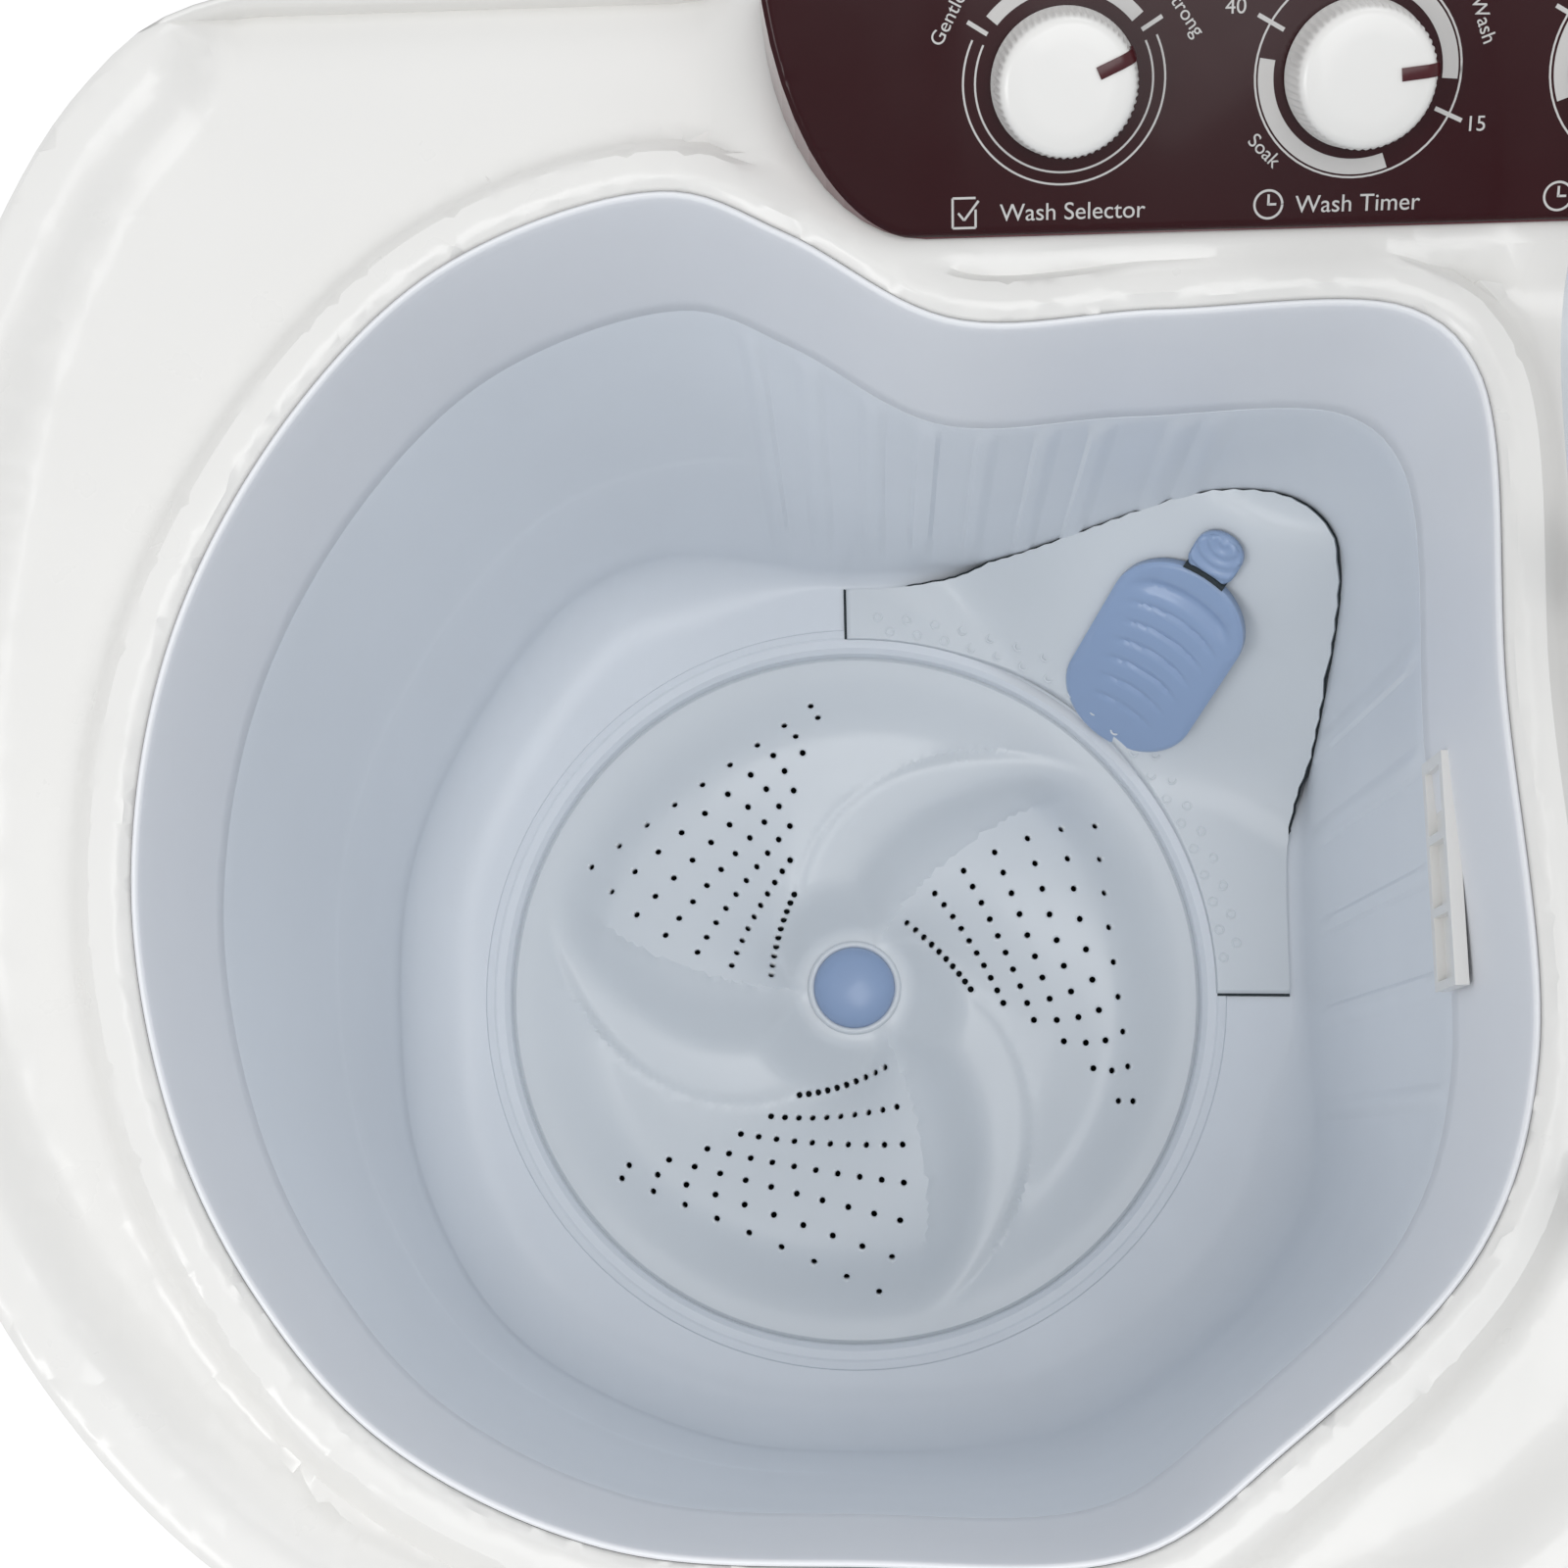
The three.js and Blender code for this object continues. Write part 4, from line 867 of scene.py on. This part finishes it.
def knob(x0):
    """A short drum with a finely ribbed skirt, a rounded edge and a plain face."""
    count = 240
    rings = []
    base = 3.2
    profile = [(KNOB_R, base), (KNOB_R, base + 0.8), (KNOB_R - 0.4, base + 2),
               (KNOB_R - 0.9, KNOB_H - 6), (KNOB_R - 1.3, KNOB_H - 4.4),
               (KNOB_R - 1.9, KNOB_H - 2.6), (KNOB_R - 3.0, KNOB_H - 1.4),
               (KNOB_R - 4.6, KNOB_H - 0.9), (12, KNOB_H - 0.8), (4, KNOB_H - 0.8)]
    for k, (r, z) in enumerate(profile):
        ribbed = 0.45 if 2 <= k <= 4 else 0
        ring = []
        for i in range(count):
            angle = 2 * math.pi * i / count
            reach = r - ribbed * (i % 4 in (0, 1))
            ring.append((x0 + reach * math.cos(angle), KNOB_ALONG + reach * math.sin(angle), z))
        rings.append(ring)
    return rings_mesh(rings, caps=True)


def pointer(x0, heading):
    """A bar on the knob's face that folds down over its edge."""
    c, s = math.cos(heading), math.sin(heading)
    line = [(9.5, KNOB_H - 0.75), (16.8, KNOB_H - 0.75), (19.0, KNOB_H - 1.6),
            (20.4, KNOB_H - 3.4), (21.4, KNOB_H - 10)]
    section = ((-1.9, -0.5), (1.9, -0.5), (1.9, 0.5), (1.3, 0.7), (-1.3, 0.7), (-1.9, 0.5))
    rings = []
    for i, (r, z) in enumerate(line):
        ahead = line[min(i + 1, len(line) - 1)]
        behind = line[max(i - 1, 0)]
        length = math.dist(ahead, behind)
        nx, nz = -(ahead[1] - behind[1]) / length, (ahead[0] - behind[0]) / length
        ring = []
        for side, out in section:
            reach, height = r + nx * out, z + nz * out
            ring.append((x0 + reach * c - side * s, KNOB_ALONG + reach * s + side * c,
                         min(height, KNOB_H)))
        rings.append(ring)
    return rings_mesh(rings, caps=True)


KNOBS = (("knob_selector", 0.42), ("knob_wash_timer", 0.1), ("knob_spin_timer", 1.57))
for (body, heading), x0 in zip(KNOBS, KNOB_X):
    piece(body + "_drum", *on_slope(knob(x0)), WHITE, body, [body], sharp=50)
    piece(body + "_pointer", *on_slope(pointer(x0, heading)), POINTER, body)


STROKE = (2.42, 2.66)  # the foot and top of a printed stroke, from the panel's slope


def bar(ax, ay, bx, by, width=0.7):
    """A straight printed stroke."""
    length = math.dist((ax, ay), (bx, by))
    nx, ny = (ay - by) / length * width / 2, (bx - ax) / length * width / 2
    ring = [(ax - nx, ay - ny), (bx - nx, by - ny), (bx + nx, by + ny), (ax + nx, ay + ny)]
    return rings_mesh(lifted(ring, STROKE), caps=True)


def arc(x0, radius, start, end, width, z=2.62, count=64, centre_y=KNOB_ALONG):
    """A flat printed arc, thin enough to lie on the fascia."""
    low, high = z - 0.2, z
    points, faces = [], []
    for i in range(count + 1):
        angle = math.radians(start + (end - start) * i / count)
        for r, height in ((radius - width / 2, low), (radius + width / 2, low),
                          (radius + width / 2, high), (radius - width / 2, high)):
            points.append((x0 + r * math.cos(angle), centre_y + r * math.sin(angle), height))
    for i in range(count):
        a, b = i * 4, (i + 1) * 4
        for j in range(4):
            k = (j + 1) % 4
            faces.append((a + j, a + k, b + k, b + j))
    faces += [(3, 2, 1, 0), tuple(count * 4 + j for j in range(4))]
    return points, faces


def tick(x0, angle, r0, r1, width=1.3):
    c, s = math.cos(math.radians(angle)), math.sin(math.radians(angle))
    corners = [(r0, -width / 2), (r1, -width / 2), (r1, width / 2), (r0, width / 2)]
    ring = [(x0 + r * c - w * s, KNOB_ALONG + r * s + w * c) for r, w in corners]
    return rings_mesh(lifted(ring, STROKE), caps=True)


prints = []
left, middle, right = KNOB_X
prints += [arc(left, 30.2, -205, 25, 0.6), arc(left, 26.6, -205, 25, 0.6),
           arc(left, 28.2, 40, 140, 4.2), tick(left, 32, 27, 34), tick(left, 148, 27, 34)]
prints += [arc(middle, 30.6, 0, 360, 0.6), arc(middle, 27.4, 170, 290, 4.6),
           arc(middle, 27.4, -5, 110, 4.6), tick(middle, 150, 26, 35), tick(middle, -25, 26, 35)]
prints += [arc(right, 30.6, 0, 360, 0.6), arc(right, 27.4, 20, 200, 4.2),
           tick(right, 150, 26, 35), tick(right, -25, 26, 35)]
# A small clock before each timer's name, and a ticked box before the selector's.
clocks = (middle - 25, right - 25)
prints += [arc(x0, 4.2, 0, 360, 0.7, centre_y=8) for x0 in clocks]
for x0 in clocks:
    prints += [bar(x0, 7.7, x0, 11), bar(x0, 8, x0 + 2.4, 8)]
box_x = left - 30
prints += [bar(box_x - 3.5, 3.5, box_x + 3.5, 3.5), bar(box_x - 3.5, 12.5, box_x + 3.5, 12.5),
           bar(box_x - 3.5, 3.5, box_x - 3.5, 12.5), bar(box_x + 3.5, 3.5, box_x + 3.5, 9),
           bar(box_x - 1.8, 8, box_x, 5.8), bar(box_x, 5.8, box_x + 4.4, 11.6)]
piece("panel_dials", *on_slope(merge(*prints)), PRINT, slot="white_shell")


def label(name, words, x, y, size, turn=0.0):
    curve = bpy.data.curves.new(name, "FONT")
    curve.body = words
    curve.size = size * 0.001
    curve.extrude = 0.00012
    curve.align_x = "CENTER"
    curve.align_y = "CENTER"
    curve.materials.append(PRINT)
    made = bpy.data.objects.new(name, curve)
    bpy.context.scene.collection.objects.link(made)
    place = slope @ Vector((x, y, 2.68))
    made.matrix_world = Matrix.Translation(place * 0.001) @ Matrix.Rotation(PANEL_SLOPE, 4, "X") \
        @ Matrix.Rotation(math.radians(turn), 4, "Z")
    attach(made, "cabinet")


NAME_Y, NAME_SIZE = 7.5, 7.4
label("label_selector", "Wash Selector", left + 3, NAME_Y, NAME_SIZE)
label("label_wash_timer", "Wash Timer", middle + 2, NAME_Y, NAME_SIZE)
label("label_spin_timer", "Spin Timer", right + 2, NAME_Y, NAME_SIZE)
label("label_gentle", "Gentle", left - 34.5, 65, 6, 62)
label("label_strong", "Strong", left + 35.5, 65, 6, -55)
label("label_40", "40", middle - 37, 66, 6.4)
label("label_15", "15", middle + 36, 30, 6.4)
label("label_soak", "Soak", middle - 27, 24, 6, -45)
label("label_wash", "Wash", middle + 36, 60, 6, -70)
label("label_spin_5", "5", right + 35, 30, 6.4)

# ---- cabinet and lids --------------------------------------------------------------------
SHELL_STEPS = [(-1.2, 30.2), (-0.2, 31.5), (0, 36), (0, 60), (-0.6, 62), (-0.6, 64), (0, 66),
               (0, 740), (-0.6, 742), (-0.6, 744), (0, 746), (0, 780), (-0.4, 783.2)]
piece("cabinet_shell", *rings_mesh(stacked(BODY, SHELL_STEPS)), WINE, stands_for=["cabinet"],
      slot="wine_shell", thickness=1.2)

LID_Z, LID_T = 820.0, 3.0
LID_DOME, LID_RIM = 0.8, 2.4
LID_ROUND = 1.2
WASH_HINGE = (100.0, 830.0)
SPIN_HINGE = (158.0, 828.0)


def lid(outline):
    """A domed sheet with a rounded edge and a turned-down rim."""
    def height(x, y):
        edge = distance(outline, x, y)
        rounded = LID_ROUND * (1 - smooth(0, 3, edge)) ** 2
        return LID_Z + LID_T - rounded - LID_DOME * (1 - smooth(0, 40, edge))
    fill = []
    for step in (0.7, 1.5, 2.6, 4):
        fill += grown(outline, -step)
    xs, ys = [x for x, _ in outline], [y for _, y in outline]
    spacing = 9
    for i in range(int((max(xs) - min(xs)) / spacing)):
        for j in range(int((max(ys) - min(ys)) / spacing)):
            fill.append((min(xs) + i * spacing + 4, min(ys) + j * spacing + 4))
    fill = [p for p in fill if inside(outline, *p)]
    edge = LID_Z + LID_T - LID_ROUND - LID_DOME
    side = rings_mesh(lifted(outline, (LID_Z - LID_RIM, edge)))
    return merge(sheet(outline, [], height, fill), side)


KNUCKLE_R = 6


def hinge_arm(along, knuckle):
    """A strap and a knuckle round the pin, along being the pin's place on the hinge line."""
    strap = [(along - 9, -30), (along + 9, -30), (along + 9, -KNUCKLE_R), (along - 9, -KNUCKLE_R)]
    rings = []
    for out, r in ((-11, 5.4), (-10.4, KNUCKLE_R), (10.4, KNUCKLE_R), (11, 5.4)):
        rings.append([(along + out, x, knuckle + y) for x, y in circle(r, count=32)])
    return merge(rings_mesh(lifted(strap, (LID_Z + 0.2, LID_Z + LID_T - 0.2)), caps=True),
                 rings_mesh(rings, caps=True))


wash_outline = even([(min(x, WASH_HINGE[0] - 11), y) for x, y in grown(lip_placed, 8)], 300)
arms = merge(*[hinge_arm(WASH[1] + side * 95, WASH_HINGE[1]) for side in (-1, 1)])
arms = [(WASH_HINGE[0] + b, a, z) for a, b, z in arms[0]], [face[::-1] for face in arms[1]]
hinge_place = Vector((WASH_HINGE[0], 0, WASH_HINGE[1]))
standing = Matrix.Translation(hinge_place) @ Matrix.Rotation(math.radians(95), 4, "Y") \
    @ Matrix.Translation(-hinge_place)
points, faces = merge(lid(wash_outline), arms)
piece("wash_lid_sheet", [tuple(standing @ Vector(p)) for p in points], faces, CLEAR, "wash_lid",
      ["wash_lid"], "clear_lid")

# The spin lid is round in front, and has straight sides that reach back to its hinge.
SPIN_LID_R, SPIN_LID_HALF, SPIN_LID_BACK = 138, 100, 149
CORNER = 8
meet = math.acos(SPIN_LID_HALF / SPIN_LID_R)
spin_outline = [(SPIN[0] + SPIN_LID_R * math.cos(a), SPIN[1] + SPIN_LID_R * math.sin(a)) for a in
                [math.pi - meet + (math.pi + 2 * meet) * k / 120 for k in range(121)]]
spin_outline += [(SPIN[0] + SPIN_LID_HALF, SPIN_LID_BACK - CORNER),
                 (SPIN[0] + SPIN_LID_HALF - CORNER, SPIN_LID_BACK),
                 (SPIN[0] - SPIN_LID_HALF + CORNER, SPIN_LID_BACK),
                 (SPIN[0] - SPIN_LID_HALF, SPIN_LID_BACK - CORNER)]
spin_outline = even(spin_outline, 300)
arms = merge(*[hinge_arm(SPIN[0] + side * 62, SPIN_HINGE[1]) for side in (-1, 1)])
arms = [(a, SPIN_HINGE[0] + b, z) for a, b, z in arms[0]], arms[1]
piece("spin_lid_sheet", *merge(lid(spin_outline), arms), WINE, "spin_lid", ["spin_lid"],
      "wine_shell")

# ---- lights and floor --------------------------------------------------------------------
floor_mesh = bpy.data.meshes.new("floor")
FLOOR_HALF = 6
corners = [(a * FLOOR_HALF, b * FLOOR_HALF, 0) for a, b in ((-1, -1), (1, -1), (1, 1), (-1, 1))]
floor_mesh.from_pydata(corners, [], [(0, 1, 2, 3)])
floor_look = material("floor", (252, 252, 252), 0.7, mottle=0.004)
floor_shader = floor_look.node_tree.nodes["Principled BSDF"]
floor_shader.inputs["Emission Color"].default_value = (1, 1, 1, 1)
floor_shader.inputs["Emission Strength"].default_value = 0.3
floor_mesh.materials.append(floor_look)
floor = bpy.data.objects.new("floor", floor_mesh)
bpy.context.scene.collection.objects.link(floor)

world = bpy.data.worlds.new("world")
world.use_nodes = True
sky = world.node_tree.nodes["Background"]
sky.inputs["Color"].default_value = (0.96, 0.975, 1.0, 1)
sky.inputs["Strength"].default_value = 0.6
bpy.context.scene.world = world


def light(name, place, target, power, size):
    data = bpy.data.lights.new(name, "AREA")
    data.energy = power
    data.size = size
    made = bpy.data.objects.new(name, data)
    made.location = place
    made.rotation_euler = (Vector(target) - Vector(place)).to_track_quat("-Z", "Y").to_euler()
    bpy.context.scene.collection.objects.link(made)


light("top", (0.35, -0.45, 3.3), (-0.12, 0, 0.6), 25, 1.8)
light("key", (-1.9, -1.2, 2.6), (-0.1, 0, 0.6), 15, 1.0)
light("back", (0.6, 2.2, 2.4), (0, 0, 0.8), 8, 1.2)
bpy.context.scene.view_settings.view_transform = "Standard"
